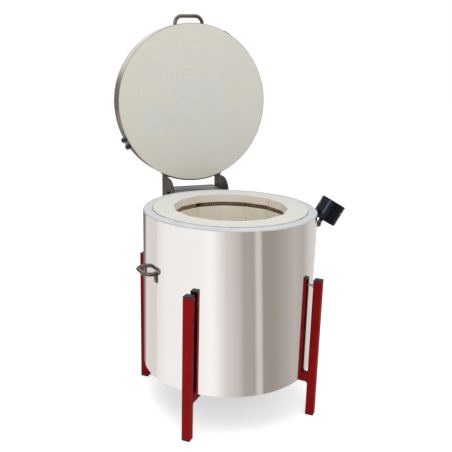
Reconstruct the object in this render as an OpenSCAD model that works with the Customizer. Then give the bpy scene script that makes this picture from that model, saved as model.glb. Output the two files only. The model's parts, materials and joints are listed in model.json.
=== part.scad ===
// Electric kiln: top loader on a four-legged stand, with its lid swung open at the back.
// Millimetres. The origin is on the ground under the middle of the body, the front is -Y
// and the hinge is at +Y. An azimuth is counted from the front towards +X.

/* [Stand] */
// Clear height between the ground and the underside of the body
floor_gap = 160; // [130:1:240]
// Outer width of the square tubes
leg_w = 30; // [26:1:40]
// Wall of the square tubes
tube_t = 2; // [1.5:0.5:3]
// Outer corner radius of the square tubes
tube_r = 3; // [2.5:0.5:5]
// Height of the leg tops above the underside of the body
leg_rise = 360; // [250:1:450]
// Space between the jacket and the front legs
leg_gap = 12.5; // [10:0.5:20]
// Space between the jacket and the rear legs, which stand further out under the open lid
rear_gap = 24.5; // [10:0.5:30]
// Azimuth of the front legs
leg_az = 45; // [40:1:50]
// Height of a cap or foot outside its tube
plug_h = 5; // [3:0.5:10]
// Length of a cap or foot inside its tube
plug_stem = 10; // [6:1:30]
// Diameter of the stand-off rods between legs and jacket
standoff_d = 8; // [6:1:10]
// Distance of a stand-off rod below the stem of the cap
standoff_drop = 9; // [9:0.5:40]
// Thickness of the stand-off nuts
standoff_nut_h = 5; // [4:0.5:7]

/* [Body] */
// Outer diameter of the steel jacket
body_d = 620; // [580:1:700]
// Height of the steel jacket
body_h = 575; // [540:1:680]
// Thickness of the jacket sheet
jacket_t = 1.5; // [1:0.1:3]
// Height of the brick rim above the edge of the jacket
rim_rise = 7; // [4:0.5:14]
// Thickness of the base pan
pan_t = 2; // [1.5:0.5:4]
// Height of the base pan's upturned edge
pan_edge = 20; // [12:1:40]
// Azimuth of the strip that covers the jacket's seam
seam_az = 153; // [148:1:156]
// Width of the seam strip
seam_w = 26; // [18:1:40]

/* [Lining] */
// Width of the chamber between opposite flats
chamber_w = 400; // [380:1:420]
// Number of flats round the chamber
chamber_sides = 14; // [14:2:16]
// Thickness of the wall bricks at the middle of a flat
wall_brick_t = 76; // [66:1:84]
// Number of wall courses
courses = 4; // [3:1:4]
// Height of a wall course
course_h = 114; // [100:1:120]
// Thickness of the floor bricks
floor_brick_t = 64; // [50:1:76]
// Length of a floor or lid brick
brick_l = 230; // [200:1:250]
// Width of a floor or lid brick
brick_w = 114; // [100:1:124]
// Width of the joints between bricks
brick_joint = 0.6; // [0.4:0.1:0.9]

/* [Heating elements] */
// Depth of an element row below the top of its course
row_drop = 36; // [30:1:50]
// Height of a groove
groove_h = 16; // [15:0.5:20]
// Depth of a groove behind the face of the wall
groove_d = 17; // [16:0.5:22]
// Outer diameter of a wound element
coil_d = 13; // [10:0.5:14]
// Diameter of the element wire
wire_d = 2.6; // [1.6:0.1:3.2]
// Number of curls on the wound element
curls = 88; // [40:1:90]
// Distance of a terminal pin from the joint that it leaves by
lead_off = 9; // [8:0.5:14]
// Diameter of the terminal pins
pin_d = 6; // [4:0.5:7]
// Length of the straight wire between a coil and its pin
lead_len = 14; // [8:1:20]
// Length of the terminal pins outside the jacket
pin_out = 40; // [34:1:48]
// Outer diameter of the ceramic bushings
bushing_d = 12; // [11:0.5:14]
// Diameter of a bushing's collar
bushing_collar_d = 16; // [15:0.5:17.5]
// Length of a bushing outside the jacket
bushing_out = 14; // [8:1:20]
// Width of the jumper straps
jumper_w = 11; // [10:0.5:14]
// Thickness of the jumper straps
jumper_t = 2; // [1:0.5:3]
// Length of a terminal pin beyond its jumper strap
jumper_end = 4; // [2:0.5:8]

/* [Lid] */
// Outer diameter of the lid's band
lid_d = 614; // [580:1:640]
// Thickness of the lid
lid_t = 76; // [70:1:100]
// Thickness of the band
band_t = 1.5; // [1:0.1:3]
// Thickness of the bricks of the lid
lid_brick_t = 64; // [55:1:66]
// Gap between the closed lid and the rim
lid_gap = 0.5; // [0.4:0.1:2]
// Shift of the lid's brick joints to the right
lid_shift_x = 11; // [0:1:30]
// Shift of the lid's brick joints to the back
lid_shift_y = 10; // [0:1:30]
// Angle that the lid is swung open
lid_open = 91.4; // [80:0.1:105]
// Azimuth of the band clamp
clamp_az = -120; // [-140:1:-110]
// Height of the band clamp's ears
clamp_h = 30; // [20:1:50]
// Length of the band clamp along the band
clamp_l = 44; // [30:1:50]
// Width of an ear along the band
clamp_ear = 14; // [8:1:14]
// Depth of the band clamp's ears
clamp_out = 18; // [13:0.5:20]
// Diameter of the clamp bolt
clamp_bolt_d = 6; // [5:0.5:7]
// Azimuth of the band's lap strip
lap_az = 27; // [20:1:60]
// Width of the lap strip along the band
lap_w = 32; // [20:1:50]
// Thickness of the lap strip
lap_t = 3; // [1.5:0.5:5]

/* [Hinge] */
// Distance of the hinge pin behind the jacket
hinge_back = 50; // [48:0.5:70]
// Depth of the hinge pin below the edge of the jacket
hinge_drop = 18.3; // [17:0.1:24]
// Diameter of the hinge pin
hinge_pin_d = 16; // [12:1:18]
// Running clearance on the radius of the pin
pin_play = 0.08; // [0.05:0.01:0.1]
// Width of the shelf bracket
bracket_w = 220; // [200:1:240]
// Distance of the bracket's back behind the pin
bracket_back = 86; // [80:1:100]
// Height of the bracket
bracket_h = 90; // [80:1:110]
// Sheet thickness of the bracket
bracket_t = 4; // [3:0.5:6]
// Bend radius of the bracket
bracket_r = 6; // [5:0.5:10]
// Depth of the shelf below the edge of the jacket
shelf_drop = 3; // [2:0.5:4]
// Wall of the hinge bushings
hinge_bush_t = 2; // [1.5:0.5:3]
// Thickness of a bushing's flange between bracket and plate
hinge_bush_flange = 2; // [1.5:0.5:4]
// Thickness of the hinge plates on the lid
plate_t = 6; // [4:0.5:8]
// Radius of the plates' round lobe about the pin
plate_r = 66; // [55:1:68]
// Reach of the plates behind the pin with the lid closed
plate_rear = 30; // [24:1:40]
// Height of the plates above the pin with the lid closed
plate_top = 84; // [70:1:95]
// Thickness of the strap that joins the plates on the band
strap_t = 4; // [3:0.5:6]
// Length of the strap outside the plates
strap_end = 6; // [4:1:20]
// Height of the strap above the underside of the lid
strap_inset = 5; // [4:0.5:10]
// Diameter of the studs that stop the open lid
stop_d = 12; // [10:1:16]
// Diameter of a stop stud's shank in the bracket
stud_d = 7; // [5:0.5:9]
// Distance of a stop stud from the pin along the plate
stop_reach = 70; // [60:1:74]
// Gap between the stop studs and the open lid's plates
stop_gap = 0.3; // [0.3:0.1:0.6]
// Length of a stop stud outside its plate
stud_out = 2; // [1:0.5:6]
// Length of a stop stud inside the bracket
stud_in = 5; // [3:0.5:10]
// Diameter of the collars on the ends of the pin
pin_collar_d = 28; // [24:1:34]
// Width of the collars on the ends of the pin
pin_collar_w = 8; // [6:0.5:12]
// Length of the pin beyond its collars
pin_end = 1; // [0.5:0.5:5]

/* [Handles] */
// Diameter of the handle bars
bar_d = 14; // [10:0.5:16]
// Distance between the two feet of the lid handle
lid_grip = 112; // [90:1:140]
// Distance between the two feet of a side handle
side_grip = 96; // [90:1:130]
// Projection of the lid handle
lid_grip_out = 34; // [30:1:60]
// Projection of a side handle
grip_out = 40; // [36:1:60]
// Bend radius of the lid handle
lid_grip_r = 28; // [20:1:32]
// Bend radius of a side handle
side_grip_r = 30; // [20:1:32]
// Azimuth of the lid handle
lid_grip_az = -2.2; // [-10:0.1:10]
// Azimuth of the left side handle, with the right one opposite
grip_az = -84; // [-92:1:-80]
// Height of the side handles above the underside of the body
grip_z = 387; // [370:1:450]
// Length of the tab below a side handle's foot
tab_l = 30; // [28:1:60]
// Width of the tab
tab_w = 16; // [14:1:24]
// Thickness of the tab
tab_t = 3; // [2:0.5:5]

/* [Thermocouple] */
// Azimuth of the thermocouple
tc_az = 79.5; // [77:0.5:80]
// Depth of the sheath below the rim
tc_drop = 74; // [72:0.5:75]
// Distance of the head's middle outside the jacket
head_out = 63.5; // [63:0.5:75]
// Depth of the head's middle below the edge of the jacket
head_drop = 17; // [14:0.5:18]
// Slope of the head's axis
head_tilt = 60; // [58:0.5:65]
// Diameter of the head
head_d = 94; // [80:1:95]
// Length of the head with its cap
head_l = 80; // [76:1:82]
// Length of the cap
cap_l = 26; // [20:1:32]
// Width of the groove between head and cap
cap_gap = 1.5; // [1:0.1:2.5]
// Edge radius of the head
head_r = 4; // [3:0.5:8]
// Outer diameter of the neck tube
neck_d = 16; // [14:0.5:18]
// Wall of the neck tube
neck_t = 2.4; // [1.5:0.1:3]
// Diameter of the neck's elbow
elbow_d = 22; // [20:1:26]
// Offset of the neck from the middle of the head, towards the jacket
neck_off = 8; // [0:0.5:8]
// Depth of the neck's socket in the head
head_socket = 8; // [5:0.5:12]
// Height of the flange's boss round the neck
tc_boss = 10; // [6:0.5:12]
// Wall of the flange's boss
tc_boss_t = 4; // [3:0.5:5]
// Depth of the flange under the end of the neck
tc_seat = 2; // [1:0.5:3]
// Diameter of the sheath
sheath_d = 10; // [8:0.5:10.5]
// Reach of the sheath into the chamber
sheath_in = 25; // [15:1:60]
// Margin of the flange beyond its screw heads
tc_flange_edge = 1.5; // [1:0.5:6]
// Thickness of the flange
tc_flange_t = 4; // [3:0.5:6]

/* [Terminal box] */
// Width of the box
box_w = 204; // [190:1:205]
// Depth of the box behind the jacket
box_d = 112; // [100:1:120]
// Height of the box
box_h = 320; // [310:1:400]
// Sheet thickness of the box
box_t = 1.5; // [1:0.1:2]
// Depth of the cover's folded edges
cover_lip = 14; // [10:1:24]
// Number of vent slots in a column
vents = 8; // [4:1:9]
// Length of a vent slot
vent_l = 60; // [30:1:70]
// Height of a vent slot
vent_h = 4; // [3:0.5:6]
// Distance between vent slots
vent_pitch = 12; // [10:1:16]
// Diameter of the cable entry
gland_bore = 14; // [8:0.5:18]
// Wall of the cable gland
gland_t = 4; // [3:0.5:6]
// Length of the gland below the box
gland_l = 22; // [18:1:30]
// Height of the gland's two hexagons
gland_hex_h = 6; // [4:0.5:9]
// Width of the terminal block
block_w = 60; // [50:1:90]
// Depth of the terminal block
block_d = 26; // [20:1:34]
// Height of the terminal block
block_h = 24; // [18:1:34]
// Diameter of the ways in the terminal block
block_bore = 7; // [5:0.5:9]
// Width of the slits between those ways
block_slit = 2; // [1:0.5:3]
// Distance of the cover's screws from the ends of the box
cover_screw = 30; // [15:1:60]

/* [Fixings] */
// Diameter of the screws in the jacket, the band and the cover
screw_d = 6; // [4:0.5:6]
// Distance of the fixing flanges from the ends of the bracket and the box
flange_inset = 10; // [8:0.5:16]
// Length of a screw behind the sheet that it holds
screw_in = 12; // [8:1:16]
// Height of a screw head
screw_head_h = 3.6; // [2:0.1:5]
// Diameter of a screw head
screw_head_d = 11; // [9:0.5:12]
// Clearance between pieces that are put together
fit = 0.3; // [0.2:0.05:0.4]

/* [Hidden] */
$fn = 96;
// Smoothness of the large round faces
fine = 360;

// Levels and radii of the body
body_r = body_d / 2;
jacket_in = body_r - jacket_t;
jacket_top = floor_gap + body_h;
rim_z = jacket_top + rim_rise;
flat_r = chamber_w / 2;
wall_r = flat_r + wall_brick_t;
side_a = 360 / chamber_sides;
chamber_z = rim_z - courses * course_h;
floor_z = chamber_z - floor_brick_t;
pan_top = floor_gap + pan_t;
collar_h = rim_rise - 1;

// Places of the stand, each leg an azimuth and the radius of its inner face
front_in = body_r + leg_gap;
rear_in = body_r + rear_gap;
LEGS = [[leg_az, front_in], [-leg_az, front_in], [180 - leg_az, rear_in], [leg_az - 180, rear_in]];
leg_top = floor_gap + leg_rise;
standoff_z = leg_top - plug_h - plug_stem - standoff_drop;

// Places of the elements and their terminals: they leave by the joint beside the rear flat
lead_az = 180 + side_a / 2;
coil_r = flat_r + groove_d / 2;
coil_s = (coil_r - lead_off * sin(side_a / 2)) / cos(side_a / 2);
pin_r0 = coil_s + lead_len;
pin_r1 = body_r + pin_out;
jumper_r = pin_r1 - jumper_t - jumper_end;
row_list = [for (i = [0 : courses - 1]) rim_z - i * course_h - row_drop];

// Places of the lid and the hinge
lid_r = lid_d / 2;
lid_z = rim_z + lid_gap;
slab_r = lid_r - band_t - fit;
strap_in = lid_r + fit;
strap_r = strap_in + strap_t;
pivot_y = body_r + hinge_back;
pivot_z = jacket_top - hinge_drop;
plate_x = bracket_w / 2 + hinge_bush_flange + fit;
strap_z = lid_z + strap_inset;
strap_h = pivot_z + plate_top - strap_z;
strap_a = asin((plate_x + plate_t + strap_end) / strap_r);
shelf_z = jacket_top - shelf_drop;
bracket_y = pivot_y + bracket_back;
stop_y = pivot_y + plate_rear + stop_gap + stop_d / 2;
stop_z = pivot_z + stop_reach;
pin_half = plate_x + plate_t + fit + pin_collar_w + pin_end;
bush_d = hinge_pin_d + 2 * hinge_bush_t;

// Places of the fixings in the jacket, each an azimuth and a height
lead_edge = side_a / 2 + asin((lead_off + bushing_collar_d / 2 + 1) / body_r);
cheek_az = asin((bracket_w - bracket_t) / 2 / body_r);
wall_az = asin((box_w - box_t) / 2 / body_r);
flange_az = (lead_edge + cheek_az) / 2;
box_az = (lead_edge + wall_az) / 2;
box_top = shelf_z - bracket_h - fit;
box_z = box_top - box_h;
foot_az = asin(side_grip / 2 / body_r);
tab_z = floor_gap + grip_z - tab_l + tab_w / 2;
tc_z = rim_z - tc_drop;
tc_screw_off = neck_d / 2 + tc_boss_t + screw_head_d / 2 + 1;
tc_flange_w = 2 * (tc_screw_off + screw_head_d / 2 + tc_flange_edge);
tc_screw_az = asin(tc_screw_off / body_r);
BRACKET_FIX = [for (s = [-1, 1], k = [0.22, 0.75]) [180 + s * flange_az, shelf_z - k * bracket_h]];
BOX_FIX = [for (s = [-1, 1], k = [0.12, 0.88]) [180 + s * box_az, box_z + k * box_h]];
GRIP_AZ = [grip_az + 180, grip_az];
GRIP_FIX = [for (az = GRIP_AZ, f = [-1, 1]) [az + f * foot_az, tab_z]];
TC_FIX = [for (s = [-1, 1]) [tc_az + s * tc_screw_az, tc_z]];
SHEET_FIX = concat(BRACKET_FIX, BOX_FIX, GRIP_FIX, TC_FIX);

// Places of the fixings in the lid's band
band_mid = lid_z + lid_t / 2;
strap_mid = strap_z + strap_h / 2;
STRAP_FIX = [for (s = [-1, 1], k = [0.3, 0.8]) 180 + s * k * strap_a];

// Places of the handle on the lid and of the cover's screws
handle_seat = sqrt(pow(lid_r - band_t, 2) - pow((lid_grip + screw_head_d) / 2, 2));
cover_y = body_r + box_d - cover_lip / 2;
COVER_Z = [box_z + cover_screw, box_top - cover_screw];
gland_d = gland_bore + 2 * gland_t;

// The head's middle and the corner where the neck, parallel to the head's axis, turns into the wall
head_x = body_r + head_out;
head_z = jacket_top - head_drop;
neck_x = head_x - (head_z - tc_z) / tan(head_tilt) - neck_off / sin(head_tilt);
neck_run = (head_z - tc_z) / sin(head_tilt) - head_l / 2 + neck_off / tan(head_tilt);

function clamp_low(v) = max(v, 0);
function turn_gap(a, b) = abs(((a - b + 540) % 360) - 180);

// Moves a child from the front to an azimuth and a height
module around(az, z = 0) {
    rotate([0, 0, az]) translate([0, 0, z]) children();
}

// A round bar from radius r0 to radius r1, beside the radius by off
module radial(az, z, d, r0, r1, off = 0) {
    around(az, z) translate([off, -r0, 0]) rotate([90, 0, 0]) cylinder(d = d, h = r1 - r0);
}

// A curved plate between two radii, from azimuth az0 to az1
module curved_span(az0, az1, z, h, r0, r1) {
    around(az0 - 90, z) rotate_extrude(angle = az1 - az0, $fn = fine)
        translate([r0, 0]) square([r1 - r0, h]);
}

// A curved plate about an azimuth, w wide along its outer face
module curved_plate(az, z, w, h, r0, r1) {
    a = asin(w / 2 / r1);
    curved_span(az - a, az + a, z, h, r0, r1);
}

// Two flanges on the jacket at the back, from the terminals out to az1, inside the height z to z + h
module back_flanges(az1, z, h, r1) {
    z0 = z + flange_inset;
    h0 = h - 2 * flange_inset;
    curved_span(180 + lead_edge, 180 + az1, z0, h0, jacket_in, r1);
    curved_span(180 - az1, 180 - lead_edge, z0, h0, jacket_in, r1);
}

// A screw with a round head that sits on radius seat
module sheet_screw(az, z, seat) {
    radial(az, z, screw_d, seat - screw_in, seat + 1);
    radial(az, z, screw_head_d, seat, seat + screw_head_h);
}

// The way of such a screw through a piece on the jacket, up to radius r1
module sheet_way(place, r1) {
    radial(place[0], place[1], screw_d + fit, body_r - 1, r1);
}

// A hexagon nut along a radius
module radial_nut(az, z, bore, r0, h) {
    across = bore * 1.65;
    around(az, z) translate([0, -r0, 0]) rotate([90, 0, 0]) difference() {
        cylinder(d = across / cos(30), h = h, $fn = 6);
        translate([0, 0, -1]) cylinder(d = bore + fit, h = h + 2);
    }
}

// A square with round corners
module soft_square(w, h, r) {
    square([w - 2 * r, h], center = true);
    square([w, h - 2 * r], center = true);
    for (x = [-1, 1], y = [-1, 1]) translate([x * (w / 2 - r), y * (h / 2 - r)]) circle(r = r);
}

module tube_plan() {
    difference() {
        soft_square(leg_w, leg_w, tube_r);
        soft_square(leg_w - 2 * tube_t, leg_w - 2 * tube_t, tube_r / 2);
    }
}

// Moves a child from the origin to the middle of a leg, at a height
module at_leg(place, z) {
    around(place[0], z) translate([0, -place[1] - leg_w / 2, 0]) children();
}

module leg(place) {
    color("firebrick") difference() {
        at_leg(place, plug_h) linear_extrude(leg_top - 2 * plug_h) tube_plan();
        radial(place[0], standoff_z, standoff_d + fit, place[1] - 1, place[1] + tube_t + 1);
    }
}

// A plastic plug with its flange below and its stem above
module tube_plug() {
    stem_w = leg_w - 2 * tube_t - 2 * fit;
    linear_extrude(plug_h) soft_square(leg_w, leg_w, tube_r);
    linear_extrude(plug_h + plug_stem) soft_square(stem_w, stem_w, tube_r / 2);
}

// A tube under the body from radius r0 to radius r1
module beam(az, r0, r1) {
    around(az, floor_gap - leg_w / 2) translate([0, -r0, 0]) rotate([90, 0, 0])
        linear_extrude(r1 - r0) tube_plan();
}

module base_beam_long() {
    color("firebrick") beam(leg_az, -rear_in, front_in);
}

module base_beam_short() {
    color("firebrick") difference() {
        beam(-leg_az, -rear_in, front_in);
        around(leg_az, floor_gap - leg_w / 2) cube([leg_w, 2 * rear_in, leg_w + 2], center = true);
    }
}

module leg_front_right() { leg(LEGS[0]); }
module leg_front_left() { leg(LEGS[1]); }
module leg_rear_right() { leg(LEGS[2]); }
module leg_rear_left() { leg(LEGS[3]); }

module leg_top_caps() {
    color("dimgray") for (place = LEGS) at_leg(place, leg_top) mirror([0, 0, 1]) tube_plug();
}

module leg_feet() {
    color("dimgray") for (place = LEGS) at_leg(place, 0) tube_plug();
}

module standoff_rods() {
    color("silver") for (place = LEGS)
        radial(place[0], standoff_z, standoff_d, body_r - screw_in, place[1] + tube_t + standoff_nut_h + 3);
}

module standoff_nuts() {
    color("silver") for (place = LEGS, r = [place[1] - standoff_nut_h, place[1] + tube_t])
        radial_nut(place[0], standoff_z, standoff_d, r, standoff_nut_h);
}

module base_pan() {
    color("silver") rotate_extrude() {
        translate([0, floor_gap]) square([jacket_in - fit, pan_t]);
        translate([jacket_in - fit - pan_t, floor_gap]) square([pan_t, pan_edge]);
    }
}

module floor_backing_board() {
    color("lightgray") translate([0, 0, pan_top]) cylinder(r = wall_r, h = floor_z - pan_top);
}

// A disc of bricks in running bond, with joints shifted by sx and sy
module brick_disc(r, h, sx, sy) {
    count_y = ceil(r / brick_w) + 1;
    count_x = ceil(r / brick_l) + 1;
    for (j = [-count_y : count_y], i = [-count_x : count_x]) {
        x0 = sx + i * brick_l + (j % 2 == 0 ? 0 : brick_l / 2);
        y0 = sy + j * brick_w;
        near = norm([clamp_low(max(x0, -x0 - brick_l)), clamp_low(max(y0, -y0 - brick_w))]);
        if (near < r - 4) intersection() {
            cylinder(r = r, h = h);
            translate([x0, y0, 0]) cube([brick_l - brick_joint, brick_w - brick_joint, h]);
        }
    }
}

module floor_bricks() {
    color("wheat") translate([0, 0, floor_z]) brick_disc(wall_r, floor_brick_t, 0, -brick_w / 2);
}

// The ways of the terminal pins, the sheath and the screws through the wall
module terminal_ways(d, r0, r1) {
    for (z = row_list, s = [-1, 1]) radial(lead_az, z, d, r0, r1, s * lead_off);
}

module wall_ways() {
    terminal_ways(bushing_d + 2 * fit, wall_r - 1, body_r + 1);
    radial(tc_az, tc_z, sheath_d + 2 * fit, wall_r - 1, body_r + 1);
    for (f = SHEET_FIX) radial(f[0], f[1], screw_d + 2 * fit, jacket_in - screw_in - 1, body_r + 1);
    for (place = LEGS)
        radial(place[0], standoff_z, standoff_d + 2 * fit, jacket_in - screw_in - 1, body_r + 1);
}

module jacket() {
    color("gainsboro") difference() {
        translate([0, 0, floor_gap]) cylinder(r = body_r, h = body_h, $fn = fine);
        translate([0, 0, floor_gap - 1]) cylinder(r = jacket_in, h = body_h + 2, $fn = fine);
        wall_ways();
    }
}

module jacket_seam_strip() {
    edge = 4;
    r0 = body_r + fit;
    color("gainsboro")
        curved_plate(seam_az, floor_gap + edge, seam_w, body_h - 2 * edge, r0, r0 + jacket_t);
}

// The blanket fills the space between bricks and jacket and ends in a soft collar at the rim
module backing_blanket() {
    r0 = wall_r + fit;
    r1 = jacket_in - fit;
    foot = floor_gap + pan_edge + fit;
    color("white") difference() {
        rotate_extrude() {
            translate([r0, foot]) square([r1 - r0, jacket_top - foot]);
            translate([r0, pan_top]) square([r1 - r0 - pan_t - fit, foot - pan_top]);
            translate([r0, jacket_top - 1]) square([r1 - r0 - collar_h, collar_h + 1]);
            translate([r1 - collar_h, jacket_top]) circle(r = collar_h);
        }
        wall_ways();
    }
}

// One wall brick at the front: a flat towards the chamber, round towards the blanket
module brick_plan() {
    half = tan(side_a / 2);
    trim = brick_joint / 2 / cos(side_a / 2);
    deep = wall_r + 10;
    intersection() {
        circle(r = wall_r);
        polygon([[trim - flat_r * half, -flat_r], [flat_r * half - trim, -flat_r],
                 [deep * half - trim, -deep], [trim - deep * half, -deep]]);
    }
}

module wall_brick(az, z0, h) {
    difference() {
        around(az, z0) linear_extrude(h) brick_plan();
        for (z = row_list) if (z + groove_h / 2 > z0 && z - groove_h / 2 < z0 + h) {
            around(az, z - groove_h / 2) translate([-flat_r / 2, -flat_r - groove_d, 0])
                cube([flat_r, groove_d + 1, groove_h]);
            if (turn_gap(az, lead_az) < side_a) for (s = [-1, 1])
                radial(lead_az, z, pin_d + 2, flat_r, wall_r + 1, s * lead_off);
        }
        if (turn_gap(az, tc_az) < side_a && abs(tc_z - z0 - h / 2) < h / 2)
            radial(tc_az, tc_z, sheath_d + 2 * fit, flat_r - 10, wall_r + 1);
    }
}

module wall_bricks() {
    h = course_h - brick_joint;
    color("cornsilk") for (k = [0 : courses - 1], s = [0 : chamber_sides - 1])
        wall_brick(s * side_a, rim_z - (k + 1) * course_h + brick_joint, h);
}

// The wound element: its axis runs along the flats, a curl's phase starts and ends upright
function flat_dist(t) = coil_r / cos(((t + side_a / 2 + 3600) % side_a) - side_a / 2);
coil_a0 = asin(lead_off / coil_s);
coil_rings = 8;
coil_sides = 6;
coil_n = curls * coil_rings;
coil_w = (coil_d - wire_d) / 2;
function axis_az(u) = lead_az + coil_a0 + u * (360 - 2 * coil_a0);
function axis_at(u) = let (a = axis_az(u), r = flat_dist(a)) [r * sin(a), -r * cos(a), row_list[0]];
function ease(u) = min(1, u * curls, (1 - u) * curls);
function curl_dir(u) = let (a = axis_az(u), p = 90 + 360 * curls * u)
    [cos(p) * sin(a), -cos(p) * cos(a), sin(p)];
function lead_pt(s, r) = let (c = lead_az)
    [r * sin(c) + s * lead_off * cos(c), s * lead_off * sin(c) - r * cos(c), row_list[0]];
function unit(v) = v / norm(v);

coil_mid = [for (i = [0 : coil_n]) let (u = i / coil_n) axis_at(u) + coil_w * ease(u) * curl_dir(u)];
coil_up = [for (i = [0 : coil_n]) curl_dir(i / coil_n)];
coil_pts = concat([lead_pt(1, pin_r0), lead_pt(1, pin_r0 - wire_d - 1)], coil_mid,
                  [lead_pt(-1, pin_r0 - wire_d - 1), lead_pt(-1, pin_r0)]);
coil_ups = concat([[0, 0, 1], [0, 0, 1]], coil_up, [[0, 0, 1], [0, 0, 1]]);

// The rings of a round tube along points p, each turned by its own up direction
function tube_ring(p, up, i) = let (
        last = len(p) - 1,
        t = unit(p[min(i + 1, last)] - p[max(i - 1, 0)]),
        e = unit(up[i] - (up[i] * t) * t),
        f = cross(t, e),
        step = 360 / coil_sides)
    [for (j = [0 : coil_sides - 1]) p[i] + wire_d / 2 * (cos(j * step) * e + sin(j * step) * f)];

module wire_tube(p, up) {
    n = len(p);
    m = coil_sides;
    points = [for (i = [0 : n - 1]) each tube_ring(p, up, i)];
    walls = [for (i = [0 : n - 2], j = [0 : m - 1]) let (a = i * m + j, b = i * m + (j + 1) % m)
        each [[a, a + m, b + m], [a, b + m, b]]];
    end = (n - 1) * m;
    caps = [for (j = [1 : m - 2]) each [[0, j, j + 1], [end, end + j + 1, end + j]]];
    polyhedron(points, concat(walls, caps), convexity = 10);
}

module heating_element_top() {
    reach = 3 * coil_rings;
    near = coil_rings / 2;
    gaps = [for (i = [0 : coil_n - near], k = [near : reach])
        if (i + k <= coil_n) norm(coil_mid[i] - coil_mid[i + k]) - wire_d];
    ends = norm(coil_mid[0] - coil_mid[coil_n]) - wire_d;
    echo(least_gap_of_wound_element = min(concat(gaps, [ends])));
    color("saddlebrown") wire_tube(coil_pts, coil_ups);
}

// The lower rows keep the outer form of a wound element, with straight ends to their pins
module heating_elements_lower() {
    a0 = asin((lead_off - wire_d) / coil_r);
    color("saddlebrown") for (i = [1 : courses - 1]) translate([0, 0, row_list[i]]) {
        around(lead_az - 90 + a0) rotate_extrude(angle = 360 - 2 * a0)
            translate([coil_r, 0]) circle(d = coil_d);
        for (s = [-1, 1]) radial(lead_az, 0, wire_d, coil_r, pin_r0, s * lead_off);
    }
}

module terminal_pins() {
    color("silver") terminal_ways(pin_d, pin_r0, pin_r1);
}

module terminal_bushings() {
    color("white") difference() {
        union() {
            terminal_ways(bushing_d, wall_r + fit, body_r + bushing_out);
            terminal_ways(bushing_collar_d, body_r + 1, body_r + 1 + bushing_out / 3);
        }
        terminal_ways(pin_d + 1, wall_r, body_r + bushing_out + 1);
    }
}

// Straps join neighbouring rows in series, on one side and then on the other
module terminal_jumpers() {
    color("peru") for (i = [0 : courses - 2]) {
        s = i % 2 == 0 ? 1 : -1;
        z1 = row_list[i];
        z0 = row_list[i + 1];
        difference() {
            around(lead_az) translate([s * lead_off - jumper_w / 2, -jumper_r - jumper_t, z0 - jumper_w / 2])
                cube([jumper_w, jumper_t, z1 - z0 + jumper_w]);
            for (z = [z0, z1])
                radial(lead_az, z, pin_d + fit, jumper_r - 1, jumper_r + jumper_t + 1, s * lead_off);
        }
    }
}

// Ceramic block with one way for each supply lead, on the floor of the box
module terminal_block() {
    color("ivory") translate([0, body_r + box_d / 2, box_z + box_t]) difference() {
        translate([-block_w / 2, -block_d / 2, 0]) cube([block_w, block_d, block_h]);
        for (k = [-1, 0, 1]) translate([k * block_w / 3, 0, block_h / 2]) {
            rotate([90, 0, 0]) cylinder(d = block_bore, h = block_d + 2, center = true);
            cylinder(d = block_bore, h = block_h);
        }
        for (k = [-1, 1]) translate([k * block_w / 6 - block_slit / 2, -block_d, block_h / 2])
            cube([block_slit, 2 * block_d, block_h]);
    }
}

module terminal_box() {
    y1 = body_r + box_d;
    inner_w = box_w - 2 * box_t;
    r1 = body_r + fit + box_t;
    color("silver") difference() {
        union() {
            difference() {
                translate([-box_w / 2, 0, box_z]) cube([box_w, y1, box_h]);
                translate([-inner_w / 2, -1, box_z + box_t]) cube([inner_w, y1 + 2, box_h]);
            }
            back_flanges(wall_az, box_z, box_h, r1);
        }
        translate([0, 0, box_z - 1]) cylinder(r = body_r + fit, h = box_h + 2, $fn = fine);
        for (f = BOX_FIX) sheet_way(f, r1 + 1);
        translate([box_w / 4, body_r + box_d / 2, box_z - 1]) cylinder(d = gland_d + fit, h = box_t + 2);
        cover_ways();
    }
}

// The screws of the cover stand across the sides of the box
module cover_ways() {
    for (z = COVER_Z) translate([0, cover_y, z]) rotate([0, 90, 0])
        cylinder(d = screw_d + fit, h = 2 * box_w, center = true);
}

module terminal_box_cover() {
    y0 = body_r + box_d - cover_lip;
    w = box_w + 2 * fit + 2 * box_t;
    vent_z = box_z + (box_h - (vents - 1) * vent_pitch - vent_h) / 2;
    color("silver") difference() {
        translate([-w / 2, y0, box_z]) cube([w, cover_lip + fit + box_t, box_h]);
        translate([-w / 2 + box_t, y0 - 1, box_z - 1]) cube([w - 2 * box_t, cover_lip + 1 + fit, box_h + 2]);
        for (s = [-1, 1], i = [0 : vents - 1])
            translate([s * box_w / 4 - vent_l / 2, y0, vent_z + i * vent_pitch])
                cube([vent_l, 2 * cover_lip, vent_h]);
        cover_ways();
    }
}

module terminal_box_screws() {
    seat = box_w / 2 + fit + box_t;
    color("silver") {
        for (f = BOX_FIX) sheet_screw(f[0], f[1], body_r + fit + box_t);
        for (s = [-1, 1], z = COVER_Z) translate([s * seat, cover_y, z]) rotate([0, s * 90, 0]) {
            cylinder(d = screw_head_d, h = screw_head_h);
            translate([0, 0, -screw_in / 2]) cylinder(d = screw_d, h = screw_in / 2 + 1);
        }
    }
}

module cable_gland() {
    hex_d = (gland_d + 6) / cos(30);
    color("dimgray") translate([box_w / 4, body_r + box_d / 2, box_z]) difference() {
        union() {
            translate([0, 0, -gland_hex_h]) cylinder(d = hex_d, h = gland_hex_h, $fn = 6);
            translate([0, 0, -gland_l])
                cylinder(d1 = gland_d - 2, d2 = gland_d + 4, h = gland_l - gland_hex_h);
            translate([0, 0, -1]) cylinder(d = gland_d, h = box_t + gland_hex_h + 2);
            translate([0, 0, box_t + fit]) cylinder(d = hex_d, h = gland_hex_h, $fn = 6);
        }
        translate([0, 0, -gland_l - 1]) cylinder(d = gland_bore, h = 2 * gland_l);
    }
}

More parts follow.
